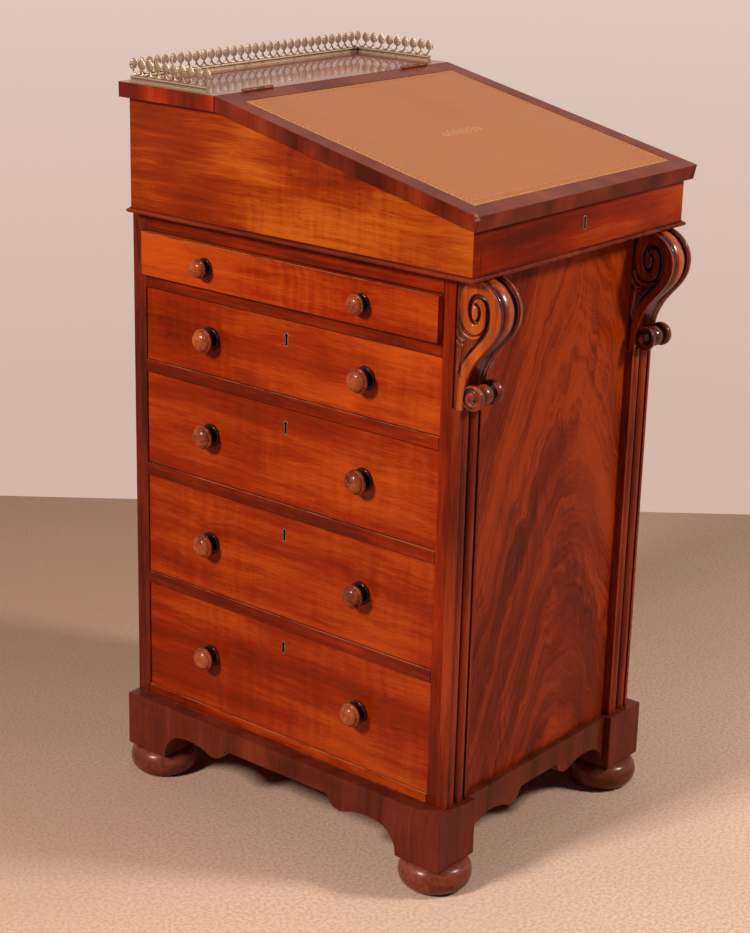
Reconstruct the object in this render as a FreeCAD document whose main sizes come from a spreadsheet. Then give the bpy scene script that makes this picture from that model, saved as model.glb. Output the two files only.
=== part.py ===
"""Davenport desk: drawer carcass on a bun-footed plinth, with a sliding, sloping writing box.

Frame: +X is the user's right, -Y is the user's side, +Z is up, millimetres. The origin is on
the floor, at the middle of the overall footprint. The five drawers open towards -X.
"""
import FreeCAD, Part
import Sketcher
import math
import os
import re

Vector = FreeCAD.Vector
Rotation = FreeCAD.Rotation

doc = FreeCAD.newDocument("Davenport")
sheet = doc.addObject("Spreadsheet::Sheet", "Sheet")

SIZES = (
    ("PlinthOverSide", 20, "plinth beyond the carcass, on each side"),
    ("PlinthOverFront", 20, "plinth corner blocks in front of the pilaster joint"),
    ("PlinthHeight", 72, "plinth boards"),
    ("PlinthThick", 18, "plinth boards"),
    ("PlinthSetback", 9, "front rail behind the corner blocks"),
    ("BlockWidth", 69, "front corner block, across"),
    ("BlockDepth", 66, "corner block, along the side"),
    ("ArchRun", 26, "shaped edge: quarter arch, along"),
    ("ArchRise", 35, "shaped edge: quarter arch, up"),
    ("CuspRun", 80, "shaped edge: low point between the arches"),
    ("CuspRise", 29, "shaped edge: low point, up"),
    ("FlatRun", 107, "shaped edge: start of the straight middle"),
    ("FlatRise", 44, "shaped edge: straight middle, up"),
    ("FootHeight", 36.5, "bun foot"),
    ("FootRadius", 44.5, "bun foot, widest"),
    ("FootInsetX", 35, "foot centre from the plinth side"),
    ("FootInsetY", 31, "foot centre from the plinth front and back"),
    ("BaseThick", 14, "base board in the plinth"),
    ("CarcassWidth", 389, "carcass, over the drawer side and the dummy side"),
    ("CarcassDepth", 496, "carcass, pilaster joint to back"),
    ("PostWidth", 42, "front corner post and pilaster, across"),
    ("PostDepth", 16.3, "front corner post, along the side"),
    ("RearStile", 21, "rear corner post along the side, and back panel thickness"),
    ("FrameDepth", 20, "rails of the drawer side, from the face in"),
    ("DummyDepth", 14, "rails of the dummy side, from the face in"),
    ("BackingThick", 8, "board behind the dummy side"),
    ("TopRail", 22, "rail above the top drawer"),
    ("DrawerRail", 16, "rails between the drawers"),
    ("BottomRail", 12.6, "rail below the bottom drawer"),
    ("TopOpening", 55.2, "height of the opening for the top drawer"),
    ("SecondOpening", 91.6, "height of the opening for the second drawer"),
    ("ThirdOpening", 119.2, "height of the opening for the third drawer"),
    ("FourthOpening", 131, "height of the opening for the fourth drawer"),
    ("BottomOpening", 142.4, "height of the opening for the bottom drawer"),
    ("DustThick", 10, "dust boards"),
    ("DeckThick", 16, "deck under the sliding box"),
    ("PilasterDepth", 12, "pilaster, front of the post"),
    ("PilasterHeight", 490, "pilaster, plinth to scroll bracket"),
    ("ReedWidth", 15, "one of the two reeds"),
    ("ReedGap", 3, "quirk between the reeds"),
    ("ReedSink", 4, "quirk depth"),
    ("PanelRecess", 9, "front panel behind the pilaster face"),
    ("BracketReach", 59, "scroll bracket, front of the pilaster joint"),
    ("ReliefDepth", 4, "carved scroll above the bracket's ground, on each side"),
    ("RimWidth", 5, "plain rim on each side of the bracket's front band"),
    ("FluteWidth", 4, "groove beside the rim"),
    ("FluteDepth", 2.5, "groove beside the rim"),
    ("BracketGap", 0.5, "scroll bracket below the sliding box"),
    ("FrontThick", 16, "drawer fronts"),
    ("FrontRecess", 2, "drawer fronts behind the carcass face"),
    ("FrontGap", 0.6, "drawer front to its opening, at the ends and below"),
    ("FrontHeadroom", 1, "drawer front to the rail above"),
    ("DrawerBackGap", 2.5, "closed drawer to the backing board"),
    ("DrawerSide", 8, "drawer sides and back"),
    ("DrawerFloor", 6, "drawer bottoms"),
    ("DrawerCut", 5, "drawer sides lower than the opening"),
    ("TopAjar", 10, "how far the top drawer stands open"),
    ("KnobSpacing", 242, "between the two knobs of a drawer"),
    ("KnobRadius", 15, "large knob"),
    ("KnobReach", 25, "large knob, out of the drawer front"),
    ("SmallKnobRadius", 12, "knob of the top drawer"),
    ("SmallKnobReach", 20, "knob of the top drawer"),
    ("PenKnobRadius", 6.5, "knob of a stationery drawer"),
    ("PenKnobReach", 11, "knob of a stationery drawer"),
    ("KeyDrop", 24, "middle of the escutcheon below the top of the opening"),
    ("KeyRound", 3.3, "escutcheon, radius of its head"),
    ("KeyTail", 13.4, "escutcheon, centre of its head to its foot"),
    ("KeyWall", 1.2, "escutcheon, width of its rim"),
    ("KeySink", 3, "escutcheon, depth"),
    ("LockWidth", 64, "lock case"),
    ("LockHeight", 38, "lock case"),
    ("LockThick", 9, "lock case"),
    ("BoxOverSide", 15.5, "sliding box beyond the carcass, on each side"),
    ("BoxOverDepth", 19, "sliding box deeper than the carcass"),
    ("BoxNose", 75, "deck to the lid's front edge, along the top of the slope"),
    ("BoxWall", 14, "sides, front and back of the box"),
    ("BoxFloor", 10, "floor of the box"),
    ("TopForward", 13, "how far the box stands forward of its closed place"),
    ("MouldHeight", 7, "bead round the bottom of the box"),
    ("MouldReach", 4.2, "bead, out of the box"),
    ("MouldRound", 3, "bead, rounding of its edges"),
    ("LidThick", 18, "writing lid"),
    ("LidDrop", 82.5, "hinge line down to the front edge of the lid"),
    ("LidOverSide", 9, "lid and shelf beyond the box sides"),
    ("LidOverFront", 12, "lid beyond the box front"),
    ("ShelfOverBack", 9, "shelf beyond the box back"),
    ("HingeFromBack", 147, "hinge line from the box back"),
    ("LidGap", 0.3, "lid and shelf, each from the hinge line"),
    ("LeatherBorder", 25, "crossbanded border round the leather"),
    ("LeatherSink", 1.2, "leather thickness and its recess"),
    ("HingeSpread", 292, "between the middles of the two hinges"),
    ("HingeLength", 51, "butt hinge"),
    ("LeafThick", 1.4, "hinge leaf"),
    ("LeafDeep", 14, "hinge leaf, down from the axis"),
    ("KnuckleRadius", 2.5, "hinge knuckle"),
    ("PinRadius", 1.2, "hinge pin"),
    ("PinFit", 0.05, "hinge pin in its knuckles, all round"),
    ("HingeRise", 1, "hinge axis above the shelf"),
    ("HingeFit", 0.3, "knuckles from one another and from the wood"),
    ("StrikeLength", 36, "lock strike plate"),
    ("StrikeWidth", 12, "lock strike plate"),
    ("StrikeThick", 1.5, "lock strike plate"),
    ("BattenWidth", 24, "dovetail batten under the box, at its root"),
    ("BattenFlare", 3, "dovetail batten, wider at the foot by this on each side"),
    ("BattenDepth", 8.7, "dovetail batten"),
    ("BattenSpread", 220, "between the middles of the battens"),
    ("BattenLength", 241, "dovetail batten"),
    ("BattenFit", 0.4, "batten in its groove, all round"),
    ("SlideTravel", 200, "travel of the box on the deck"),
    ("NestSetback", 8, "stationery nest behind the hinge line"),
    ("NestBoard", 8, "boards of the stationery nest"),
    ("PenOpening", 56, "height of the opening for a stationery drawer"),
    ("PenGap", 0.6, "stationery drawer in its opening"),
    ("PenWall", 6, "walls of a stationery drawer"),
    ("RailHeight", 6.8, "gallery rail"),
    ("RailWidth", 7, "gallery rail, its foot"),
    ("RailStep", 1.2, "gallery rail, depth of its mouldings"),
    ("GalleryRun", 125, "gallery along each side of the shelf"),
    ("CrestRise", 21, "gallery cresting above its rail"),
    ("CrestThick", 2, "gallery cresting"),
    ("CrestLoops", 31, "loops of the cresting along the back"),
    ("CrestSideLoops", 9, "loops of the cresting along each side"),
    ("LeafWidth", 8.4, "leaf of the cresting"),
    ("WireWidth", 1.4, "loop of the cresting"),
)
TIED_SIZES = (
    ("PlinthWidth", "=CarcassWidth + 2 * PlinthOverSide", "plinth, over its side boards"),
    ("PlinthDepth", "=CarcassDepth + PlinthOverFront", "plinth, front of corner blocks to back"),
    ("BoxWidth", "=CarcassWidth + 2 * BoxOverSide", "sliding box, over its sides"),
    ("BoxDepth", "=CarcassDepth + BoxOverDepth", "sliding box, front to back"),
    ("BoxHeight", "=BoxNose + LidDrop", "sliding box, deck to the top of the shelf"),
)
for row, (alias, value, meaning) in enumerate(SIZES + TIED_SIZES, 1):
    sheet.set(f"A{row}", meaning)
    sheet.set(f"B{row}", str(value))
    sheet.setAlias(f"B{row}", alias)
doc.recompute()

# Places that several pieces share, as expressions in the sheet's names.
FLOOR = "(FootHeight + PlinthHeight)"
OPENINGS = ("BottomOpening", "FourthOpening", "ThirdOpening", "SecondOpening", "TopOpening")
DECK = f"({FLOOR} + BottomRail + {' + '.join(OPENINGS)} + 4 * DrawerRail + TopRail)"
FOOT_OVERHANG = "(FootRadius - FootInsetY)"
BACK = f"((CarcassDepth + BracketReach - {FOOT_OVERHANG}) / 2)"
FRONT = f"({BACK} - CarcassDepth)"
PLINTH_FRONT = f"({BACK} - PlinthDepth)"
SIDE = "(CarcassWidth / 2)"
BAY_FRONT = f"({FRONT} + PostDepth)"
BAY_BACK = f"({BACK} - RearStile)"
BAY_RIGHT = f"({SIDE} - DummyDepth - BackingThick)"
BOX_BACK = f"({BACK} - TopForward)"
BOX_FRONT = f"({BOX_BACK} - BoxDepth)"
BOX_TOP = f"({DECK} + BoxHeight)"
HINGE_Y = f"({BOX_BACK} - HingeFromBack)"
LID_RUN = "(BoxDepth + LidOverFront - HingeFromBack)"
SLOPE = f"(LidDrop / {LID_RUN})"
LID_TILT = f"atan({SLOPE})"
LID_DOWN = f"(LidThick / cos({LID_TILT}))"
SHELF_UNDER = f"({BOX_TOP} - {LID_DOWN})"
NEST_FRONT = f"({HINGE_Y} + NestSetback)"
WELL_FLOOR = f"({DECK} + BoxFloor)"
INSIDE = "(BoxWidth / 2 - BoxWall)"

nodes = []


def cell(text):
    """The expression with the sheet's name before each of its aliases."""
    return re.sub(r"\b([A-Z][A-Za-z]+)\b", r"Sheet.\1", text)


def value(text):
    """The number that an expression gives now."""
    result = sheet.evalExpression(cell(text))
    return float(getattr(result, "Value", result))


def place(thing, x="0", y="0", z="0"):
    """Binds the base point of a thing's placement."""
    for axis, text in (("x", x), ("y", y), ("z", z)):
        thing.setExpression(f"Placement.Base.{axis}", cell(text))
    return thing


def node(thing):
    """Marks a finished sub-part, whose label names its file."""
    nodes.append(thing)
    return thing


def board(label, x, y, z):
    """A rectangular board between two bounds along each axis."""
    block = doc.addObject("Part::Box", label)
    for size, (low, high) in (("Length", x), ("Width", y), ("Height", z)):
        block.setExpression(size, cell(f"({high}) - ({low})"))
    return place(block, x[0], y[0], z[0])


def group(label, members):
    """Several solids of one kind, kept apart under one label."""
    bundle = doc.addObject("Part::Compound", label)
    bundle.Links = members
    return node(bundle)


def copy_of(master, label, x, y, z, turn=None):
    """A link to a master body, turned and placed."""
    link = doc.addObject("App::Link", label)
    link.LinkedObject = master
    if turn is not None:
        link.Placement = FreeCAD.Placement(Vector(), turn)
    return place(link, x, y, z)


def cut(label, base, *tools):
    """The base with each tool taken out of it."""
    for count, tool in enumerate(tools, 1):
        last = count == len(tools)
        result = doc.addObject("Part::Cut", label if last else f"{label}_cut_{count}")
        result.Base = base
        result.Tool = tool
        base = result
    return base


def outline(body, role, name, start, steps, lift=None):
    """A closed sketch on one of the body's origin planes.

    Each step is (end,) for a line or (through, end) for an arc, and each point is a pair of
    expressions, held by two distance constraints from the sketch's origin.
    """
    sketch = body.newObject("Sketcher::SketchObject", name)
    plane = next(feature for feature in body.Origin.OriginFeatures if feature.Role == role)
    sketch.AttachmentSupport = (plane, "")
    sketch.MapMode = "FlatFace"
    if lift:
        sketch.setExpression("AttachmentOffset.Base.z", cell(lift))

    def at(point):
        return Vector(value(point[0]), value(point[1]), 0)

    def pin(geometry, vertex, point):
        for kind, text in zip(("DistanceX", "DistanceY"), point):
            held = Sketcher.Constraint(kind, -1, 1, geometry, vertex, value(text))
            index = sketch.addConstraint(held)
            sketch.setExpression(f"Constraints[{index}]", cell(text))

    here = start
    chain = []
    for step in steps:
        end = step[-1]
        if len(step) == 1:
            index = sketch.addGeometry(Part.LineSegment(at(here), at(end)), False)
            ends = (1, 2)
        else:
            # A sketch keeps its arcs anticlockwise.
            points = [at(here), at(step[0]), at(end)]
            ends = (1, 2)
            if (points[1] - points[0]).cross(points[2] - points[0]).z < 0:
                points.reverse()
                ends = (2, 1)
            index = sketch.addGeometry(Part.Arc(*points), False)
            through = sketch.addGeometry(Part.Point(at(step[0])), True)
            pin(through, 1, step[0])
            sketch.addConstraint(Sketcher.Constraint("PointOnObject", through, 1, index))
        pin(index, ends[0], here)
        chain.append((index, ends))
        here = end
    for (index, ends), (following, next_ends) in zip(chain, chain[1:] + chain[:1]):
        joint = Sketcher.Constraint("Coincident", index, ends[1], following, next_ends[0])
        sketch.addConstraint(joint)
    return sketch


def polygon(points):
    """Line steps for outline(), through the points and back to the first."""
    return points[0], [(point,) for point in points[1:] + points[:1]]


def rectangle(low_x, high_x, low_y, high_y):
    """A rectangle as start and steps for outline()."""
    return polygon([(low_x, low_y), (high_x, low_y), (high_x, high_y), (low_x, high_y)])


def pad(body, sketch, length, centred=False, backwards=False):
    """A pad of a sketch."""
    feature = body.newObject("PartDesign::Pad", f"{body.Name}_pad")
    feature.Profile = sketch
    feature.setExpression("Length", cell(length))
    feature.Midplane = centred
    feature.Reversed = backwards
    return feature


def pocket(body, sketch, length, backwards=False, centred=False):
    """A pocket of a sketch. It must take material away."""
    doc.recompute()
    before = body.Shape.Volume
    feature = body.newObject("PartDesign::Pocket", f"{body.Name}_pocket")
    feature.Profile = sketch
    feature.setExpression("Length", cell(length))
    feature.Midplane = centred
    feature.Reversed = backwards
    doc.recompute()
    if body.Shape.Volume >= before:
        raise RuntimeError(f"{feature.Label} cuts nothing")
    return feature


def new_body(label):
    return doc.addObject("PartDesign::Body", label)


def turned(label, profile):
    """A body turned about its own Z axis from a half profile in the XZ plane."""
    body = new_body(label)
    start, steps = polygon(profile)
    sketch = outline(body, "XZ_Plane", f"{label}_profile", start, steps)
    spin = body.newObject("PartDesign::Revolution", f"{label}_turning")
    spin.Profile = sketch
    spin.ReferenceAxis = (sketch, ["V_Axis"])
    spin.Angle = 360
    return body


def rounded(radius, core, rise, centre, first, last, count):
    """Points on an elliptical swelling of a turned profile, at even angles in degrees."""
    points = []
    for step in range(count + 1):
        angle = first + (last - first) * step / count
        points.append(
            (
                f"{radius} * ({core} + (1 - {core}) * cos({angle}))",
                f"{centre} + ({rise}) * sin({angle})",
            )
        )
    return points


def opening_floor(index):
    """The height of the floor of a drawer opening, counted from the bottom."""
    below = "".join(f" + {name} + DrawerRail" for name in OPENINGS[:index])
    return f"({FLOOR} + BottomRail{below})"


# ---------------------------------------------------------------- plinth and feet


def shaped_board(label, role, half_length, blocks):
    """A plinth board with a shaped lower edge, symmetrical about its middle.

    From each corner block the edge runs through a quarter arch, down to a cusp and up a cove
    to the straight middle. The blocks stand at the ends where blocks isn't "0".
    """

    def point(side, run, rise):
        return (f"{side} * ({half_length} - {blocks} - ({run}))", f"FootHeight + {rise}")

    def half(side):
        return [
            (point(side, "0", "ArchRise * 0.16"),),
            (point(side, "ArchRun * 0.3", "ArchRise * 0.68"), point(side, "ArchRun", "ArchRise")),
            (
                point(side, "(ArchRun + CuspRun) / 2", "ArchRise * 1.04"),
                point(side, "CuspRun", "CuspRise"),
            ),
            (
                point(side, "FlatRun - (FlatRun - CuspRun) * 0.3", "CuspRise * 0.8 + FlatRise * 0.2"),
                point(side, "FlatRun", "FlatRise"),
            ),
        ]

    left = half("-1")
    right = half("1")
    # The right half is walked from the middle outwards, so its steps are turned round.
    corners = [step[-1] for step in right]
    back_steps = [(corners[3],)]
    for index in (3, 2, 1):
        back_steps.append((right[index][0], corners[index - 1]))
    start = (f"-({half_length})", "FootHeight + PlinthHeight")
    steps = []
    if blocks == "0":
        steps.append((left[0][0],))
    else:
        steps.append(((f"-({half_length})", "FootHeight"),))
        steps.append((point("-1", "0", "0"),))
        steps.append(left[0])
    steps += left[1:] + back_steps
    if blocks != "0":
        steps.append((point("1", "0", "0"),))
        steps.append(((f"{half_length}", "FootHeight"),))
    steps.append(((f"{half_length}", "FootHeight + PlinthHeight"),))
    steps.append((start,))
    body = new_body(label)
    pad(body, outline(body, role, f"{label}_outline", start, steps), "PlinthThick")
    return body


def plinth():
    middle = f"({BACK} + {PLINTH_FRONT}) / 2"
    side = shaped_board("plinth_side", "YZ_Plane", "PlinthDepth / 2", "BlockDepth")
    group(
        "plinth_sides",
        [
            copy_of(side, "plinth_side_left", "-PlinthWidth / 2", middle, "0"),
            copy_of(side, "plinth_side_right", "PlinthWidth / 2 - PlinthThick", middle, "0"),
        ],
    )
    # Pads on the XZ plane grow towards -Y, so these places are the boards' inner faces.
    front = shaped_board("plinth_front_rail", "XZ_Plane", "PlinthWidth / 2 - BlockWidth", "0")
    place(front, "0", f"{PLINTH_FRONT} + PlinthSetback + PlinthThick")
    half_back = "(PlinthWidth / 2 - PlinthThick)"
    back = shaped_board("plinth_back_rail", "XZ_Plane", half_back, "(BlockWidth - PlinthThick)")
    place(back, "0", BACK)
    group("plinth_rails", [front, back])

    height = ("FootHeight", FLOOR)
    outer = "(PlinthWidth / 2 - PlinthThick)"
    inner = "(PlinthWidth / 2 - BlockWidth)"
    front_y = (PLINTH_FRONT, f"{PLINTH_FRONT} + BlockDepth")
    back_y = (f"{BACK} - BlockDepth", f"{BACK} - PlinthThick")
    group(
        "plinth_corner_blocks",
        [
            board("block_front_left", (f"-{outer}", f"-{inner}"), front_y, height),
            board("block_front_right", (inner, outer), front_y, height),
            board("block_back_left", (f"-{outer}", f"-{inner}"), back_y, height),
            board("block_back_right", (inner, outer), back_y, height),
        ],
    )
    base_y = (f"{PLINTH_FRONT} + BlockDepth", f"{BACK} - BlockDepth")
    node(board("base_board", (f"-{outer}", outer), base_y, (f"{FLOOR} - BaseThick", FLOOR)))

    half = "FootHeight * 0.45"
    bun = rounded("FootRadius", 0.54, half, half, -90, 70, 4)
    foot = turned("bun_foot", [("0", "0"), *bun, (bun[-1][0], "FootHeight"), ("0", "FootHeight")])
    foot_x = "(PlinthWidth / 2 - FootInsetX)"
    feet = []
    for name, y in (("front", f"{PLINTH_FRONT} + FootInsetY"), ("back", f"{BACK} - FootInsetY")):
        for hand, x in (("left", f"-{foot_x}"), ("right", foot_x)):
            feet.append(copy_of(foot, f"foot_{name}_{hand}", x, y, "0"))
    group("bun_feet", feet)


# ---------------------------------------------------------------- carcass


def both_sides(label, depth, y, z, left_depth=None):
    """A pair of members, one in the drawer side and one in the dummy side."""
    left = board(f"{label}_left", (f"-{SIDE}", f"-{SIDE} + {left_depth or depth}"), y, z)
    right = board(f"{label}_right", (f"{SIDE} - {depth}", SIDE), y, z)
    return group(label, [left, right])


def carcass():
    tall = (FLOOR, DECK)
    bay = (BAY_FRONT, BAY_BACK)
    both_sides("front_posts", "PostWidth", (FRONT, BAY_FRONT), tall)
    both_sides("rear_posts", "FrameDepth", (BAY_BACK, BACK), tall)
    both_sides("top_rails", "DummyDepth", bay, (f"{DECK} - TopRail", DECK), "FrameDepth")
    both_sides("bottom_rails", "DummyDepth", bay, (FLOOR, opening_floor(0)), "FrameDepth")

    left = []
    right = []
    dust = []
    inside = (f"-{SIDE} + FrameDepth", BAY_RIGHT)
    for index in range(5):
        level = opening_floor(index)
        dust.append(board(f"dust_board_{index}", inside, bay, (f"{level} - DustThick", level)))
        if index:
            z = (f"{level} - DrawerRail", level)
            left_x = (f"-{SIDE}", f"-{SIDE} + FrameDepth")
            left.append(board(f"drawer_rail_{index}", left_x, bay, z))
            right.append(board(f"dummy_rail_{index}", (f"{SIDE} - DummyDepth", SIDE), bay, z))
    group("drawer_rails", left)
    group("dummy_rails", right)
    group("dust_boards", dust)

    backing_x = (BAY_RIGHT, f"{SIDE} - DummyDepth")
    node(board("dummy_backing", backing_x, bay, (FLOOR, f"{DECK} - TopRail")))
    between_posts = (f"-({SIDE} - PostWidth)", f"{SIDE} - PostWidth")
    panel_front = f"{FRONT} - PilasterDepth + PanelRecess"
    node(board("front_panel", between_posts, (panel_front, BAY_FRONT), tall))
    between_stiles = (f"-({SIDE} - FrameDepth)", f"{SIDE} - FrameDepth")
    node(board("back_panel", between_stiles, (BAY_BACK, BACK), tall))


def dovetail(label, spare, length):
    """A dovetail bar along +Y, its root at z = 0 and its foot below, grown all round by spare."""
    half = f"(BattenWidth / 2 + {spare})"
    foot = f"({half} + BattenFlare)"
    start, steps = polygon(
        [
            (f"-{half}", "0"),
            (half, "0"),
            (foot, f"-(BattenDepth + {spare})"),
            (f"-{foot}", f"-(BattenDepth + {spare})"),
        ]
    )
    body = new_body(label)
    sketch = outline(body, "XZ_Plane", f"{label}_section", start, steps)
    pad(body, sketch, length, backwards=True)
    return body


def sliding_deck():
    """The deck with two blind dovetail grooves, and the battens that run in them.

    The grooves run out at the back, where the back panel closes them, so the box stops there
    when it is pushed home and at the blind ends when it is drawn forward.
    """
    groove_length = "(BattenLength + SlideTravel + BattenFit)"
    groove = dovetail("deck_groove", "BattenFit", groove_length)
    plain = board(
        "deck_board",
        (f"-{SIDE} + FrameDepth", BAY_RIGHT),
        (BAY_FRONT, BAY_BACK),
        (f"{DECK} - DeckThick", DECK),
    )
    lines = (("left", "-BattenSpread / 2"), ("right", "BattenSpread / 2"))
    start = f"{BAY_BACK} - {groove_length}"
    grooves = [copy_of(groove, f"groove_{hand}", x, start, DECK) for hand, x in lines]
    node(cut("sliding_deck", plain, *grooves))

    batten = dovetail("slide_batten", "0", "BattenLength")
    batten_y = f"{BAY_BACK} - TopForward - BattenLength - BattenFit / 2"
    battens = [copy_of(batten, f"batten_{hand}", x, batten_y, DECK) for hand, x in lines]
    group("slide_battens", battens)


def pilasters():
    """Two reeds between flat fillets, on a strip as wide as the corner post."""
    flat = "(PostWidth / 2 - ReedGap / 2 - ReedWidth)"
    low = "(PilasterDepth - ReedSink)"
    first = flat
    second = f"({flat} + ReedWidth + ReedGap)"
    body = new_body("pilaster")
    steps = [
        (("0", "PilasterDepth"),),
        ((first, "PilasterDepth"),),
        ((first, low),),
    ]
    for reed in (first, second):
        crown = (f"{reed} + ReedWidth / 2", "PilasterDepth")
        steps.append((crown, (f"{reed} + ReedWidth", low)))
        if reed is first:
            steps.append(((second, low),))
    steps.append(((f"PostWidth - {flat}", "PilasterDepth"),))
    steps.append((("PostWidth", "PilasterDepth"),))
    steps.append((("PostWidth", "0"),))
    steps.append((("0", "0"),))
    sketch = outline(body, "XY_Plane", "pilaster_section", ("0", "0"), steps)
    pad(body, sketch, "PilasterHeight")
    turn = Rotation(Vector(0, 0, 1), 180)
    group(
        "pilasters",
        [
            copy_of(body, "pilaster_left", f"-{SIDE} + PostWidth", FRONT, FLOOR, turn),
            copy_of(body, "pilaster_right", SIDE, FRONT, FLOOR, turn),
        ],
    )


# ---------------------------------------------------------------- scroll brackets


def scroll_bracket(label, x):
    """A carved scroll bracket, built up in layers across X from outlines in (reach, rise).

    reach is measured forward of the pilaster joint and rise above the pilaster. The front
    band has a plain rim at each side, a flute, and a bead between. Each side face carries the
    scroll in relief: a spiral volute at the top, a band down the neck, a disc at the foot.
    """
    reach = value("BracketReach")
    rise = value(f"{DECK} - {FLOOR} - PilasterHeight - BracketGap")
    width = value("PostWidth")
    relief = value("ReliefDepth")
    rim = value("RimWidth")
    flute = value("FluteWidth")
    sink = value("FluteDepth")

    def point(share_of_reach, share_of_rise):
        return Vector(0, -reach * share_of_reach, rise * share_of_rise)

    def line(start, end):
        return Part.LineSegment(start, end).toShape()

    def arc(*points):
        return Part.Arc(*points).toShape()

    def face(edges):
        return Part.Face(Part.Wire(edges))

    def round_face(centre, radius):
        circle = Part.Circle(centre, Vector(1, 0, 0), radius)
        return face([circle.toShape()])

    spool_centre = point(0.43, 0.109)
    spool_radius = rise * 0.099
    top = point(0.5, 1)
    shoulder = point(0.86, 0.93)
    brow = point(1.0, 0.775)
    chin = point(0.955, 0.655)
    waist = point(0.79, 0.545)
    throat = point(0.465, 0.39)
    neck = point(0.25, 0.2)

    def front_curve(inset):
        """The band's front, from the top down to the spool, moved inwards by inset."""
        back = Vector(0, inset, 0)
        upper = arc(top + back, shoulder + back * 0.8, brow + back)
        middle = arc(brow + back, chin + back, waist + back)
        lower = arc(waist + back, throat + back, neck + back)
        return [upper, middle, lower]

    def scroll(inset):
        """The whole side outline, down to the foot behind the spool."""
        back = Vector(0, inset, 0)
        edges = front_curve(inset)
        edges.append(line(neck + back, spool_centre))
        edges.append(line(spool_centre, point(0.22, 0)))
        edges.append(line(point(0.22, 0), point(0, 0)))
        edges.append(line(point(0, 0), point(0, 1)))
        edges.append(line(point(0, 1), top + back))
        return face(edges)

    def volute():
        """A band that winds one and a half turns inwards to a round eye."""
        centre = point(0.435, 0.775)
        across = reach * 0.335
        up = rise * 0.17
        band = reach * 0.1

        def spiral(turn, shift):
            shrink = 1 - 0.32 * turn
            angle = math.pi * (0.5 - 2 * turn)
            y = (across * shrink - shift) * math.cos(angle)
            z = (up * shrink - shift) * math.sin(angle)
            return centre + Vector(0, -y, z)

        def track(shift):
            turns = [index / 12 for index in range(19)]
            spots = [spiral(turn, shift) for turn in turns]
            return [arc(*spots[index : index + 3]) for index in range(0, 18, 2)]

        outer = track(0)
        inner = track(band)
        outer_ends = (spiral(0, 0), spiral(1.5, 0))
        inner_ends = (spiral(0, band), spiral(1.5, band))
        edges = [
            *outer,
            line(outer_ends[1], inner_ends[1]),
            *inner[::-1],
            line(inner_ends[0], outer_ends[0]),
        ]
        return [face(edges), round_face(centre, band * 0.95)]

    def side_band():
        """The relief band that follows the front from the volute to the spool."""
        thick = Vector(0, reach * 0.19, 0)
        inner_neck = neck + thick * 0.75
        inner_waist = waist + thick * 1.4
        crown = point(0.44, 0.945)
        edges = front_curve(0)
        edges.append(line(neck, inner_neck))
        edges.append(arc(inner_neck, throat + thick * 1.15, inner_waist))
        edges.append(arc(inner_waist, chin + thick * 1.1, brow + thick))
        edges.append(arc(brow + thick, point(0.74, 0.89), crown))
        edges.append(line(crown, point(0.44, 1)))
        edges.append(line(point(0.44, 1), top))
        return face(edges)

    disc = round_face(spool_centre, spool_radius)
    barrel = round_face(spool_centre, spool_radius * 0.8)
    layers = (
        (relief, [side_band(), disc, *volute()]),
        (rim - relief, [scroll(0), disc]),
        (flute, [scroll(sink), barrel]),
        (width - 2 * rim - 2 * flute, [scroll(0), barrel]),
        (flute, [scroll(sink), barrel]),
        (rim - relief, [scroll(0), disc]),
        (relief, [side_band(), disc, *volute()]),
    )
    slabs = []
    across = 0
    for thick, faces in layers:
        union = faces[0].fuse(faces[1:]).removeSplitter()
        slab = union.extrude(Vector(thick, 0, 0))
        slab.translate(Vector(across, 0, 0))
        slabs.append(slab)
        across += thick
    feature = doc.addObject("Part::Feature", label)
    carved = slabs[0].fuse(slabs[1:]).removeSplitter()
    if len(carved.Solids) != 1:
        raise RuntimeError(f"{label} has {len(carved.Solids)} solids")
    feature.Shape = carved.Solids[0]
    place(feature, x, FRONT, f"{FLOOR} + PilasterHeight")
    return node(feature)


# ---------------------------------------------------------------- turned knobs and locks


def knob(label, radius, reach):
    """A mushroom knob: base flange, waisted neck and domed head, along its own +Z."""
    flange = f"{radius} * 0.95"
    neck = f"{radius} * 0.43"
    profile = [
        ("0", "0"),
        (flange, "0"),
        (flange, f"{reach} * 0.14"),
        (neck, f"{reach} * 0.14"),
        (neck, f"{reach} * 0.42"),
        *rounded(radius, 0, f"{reach} * 0.38", f"{reach} * 0.62", 0, 90, 2),
    ]
    return turned(label, profile)


def keyhole(body, name, grow, lift=None):
    """A keyhole outline in the XY plane, its head at the origin and its tail along -Y."""
    head = f"(KeyRound + {grow})"
    half = f"(KeyRound * 0.8 + {grow})"
    shoulder = f"sqrt({head}^2 - {half}^2)"
    foot = f"-(KeyTail + {grow})"
    steps = [
        (("0", head), (half, f"-{shoulder}")),
        ((half, foot),),
        ((f"-{half}", foot),),
        ((f"-{half}", f"-{shoulder}"),),
    ]
    return outline(body, "XY_Plane", name, (f"-{half}", f"-{shoulder}"), steps, lift)


def escutcheon_masters():
    """The brass thread escutcheon, and the cutter for its seat and for the keyhole."""
    ring = new_body("escutcheon")
    pad(ring, keyhole(ring, "escutcheon_outer", "0"), "KeySink", backwards=True)
    pocket(ring, keyhole(ring, "escutcheon_inner", "-KeyWall"), "KeySink")
    cutter = new_body("keyhole_cutter")
    pad(cutter, keyhole(cutter, "cutter_seat", "0"), "KeySink", backwards=True)
    bore = keyhole(cutter, "cutter_bore", "-KeyWall")
    pad(cutter, bore, "FrontThick + KeySink", backwards=True)
    return ring, cutter


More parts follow.
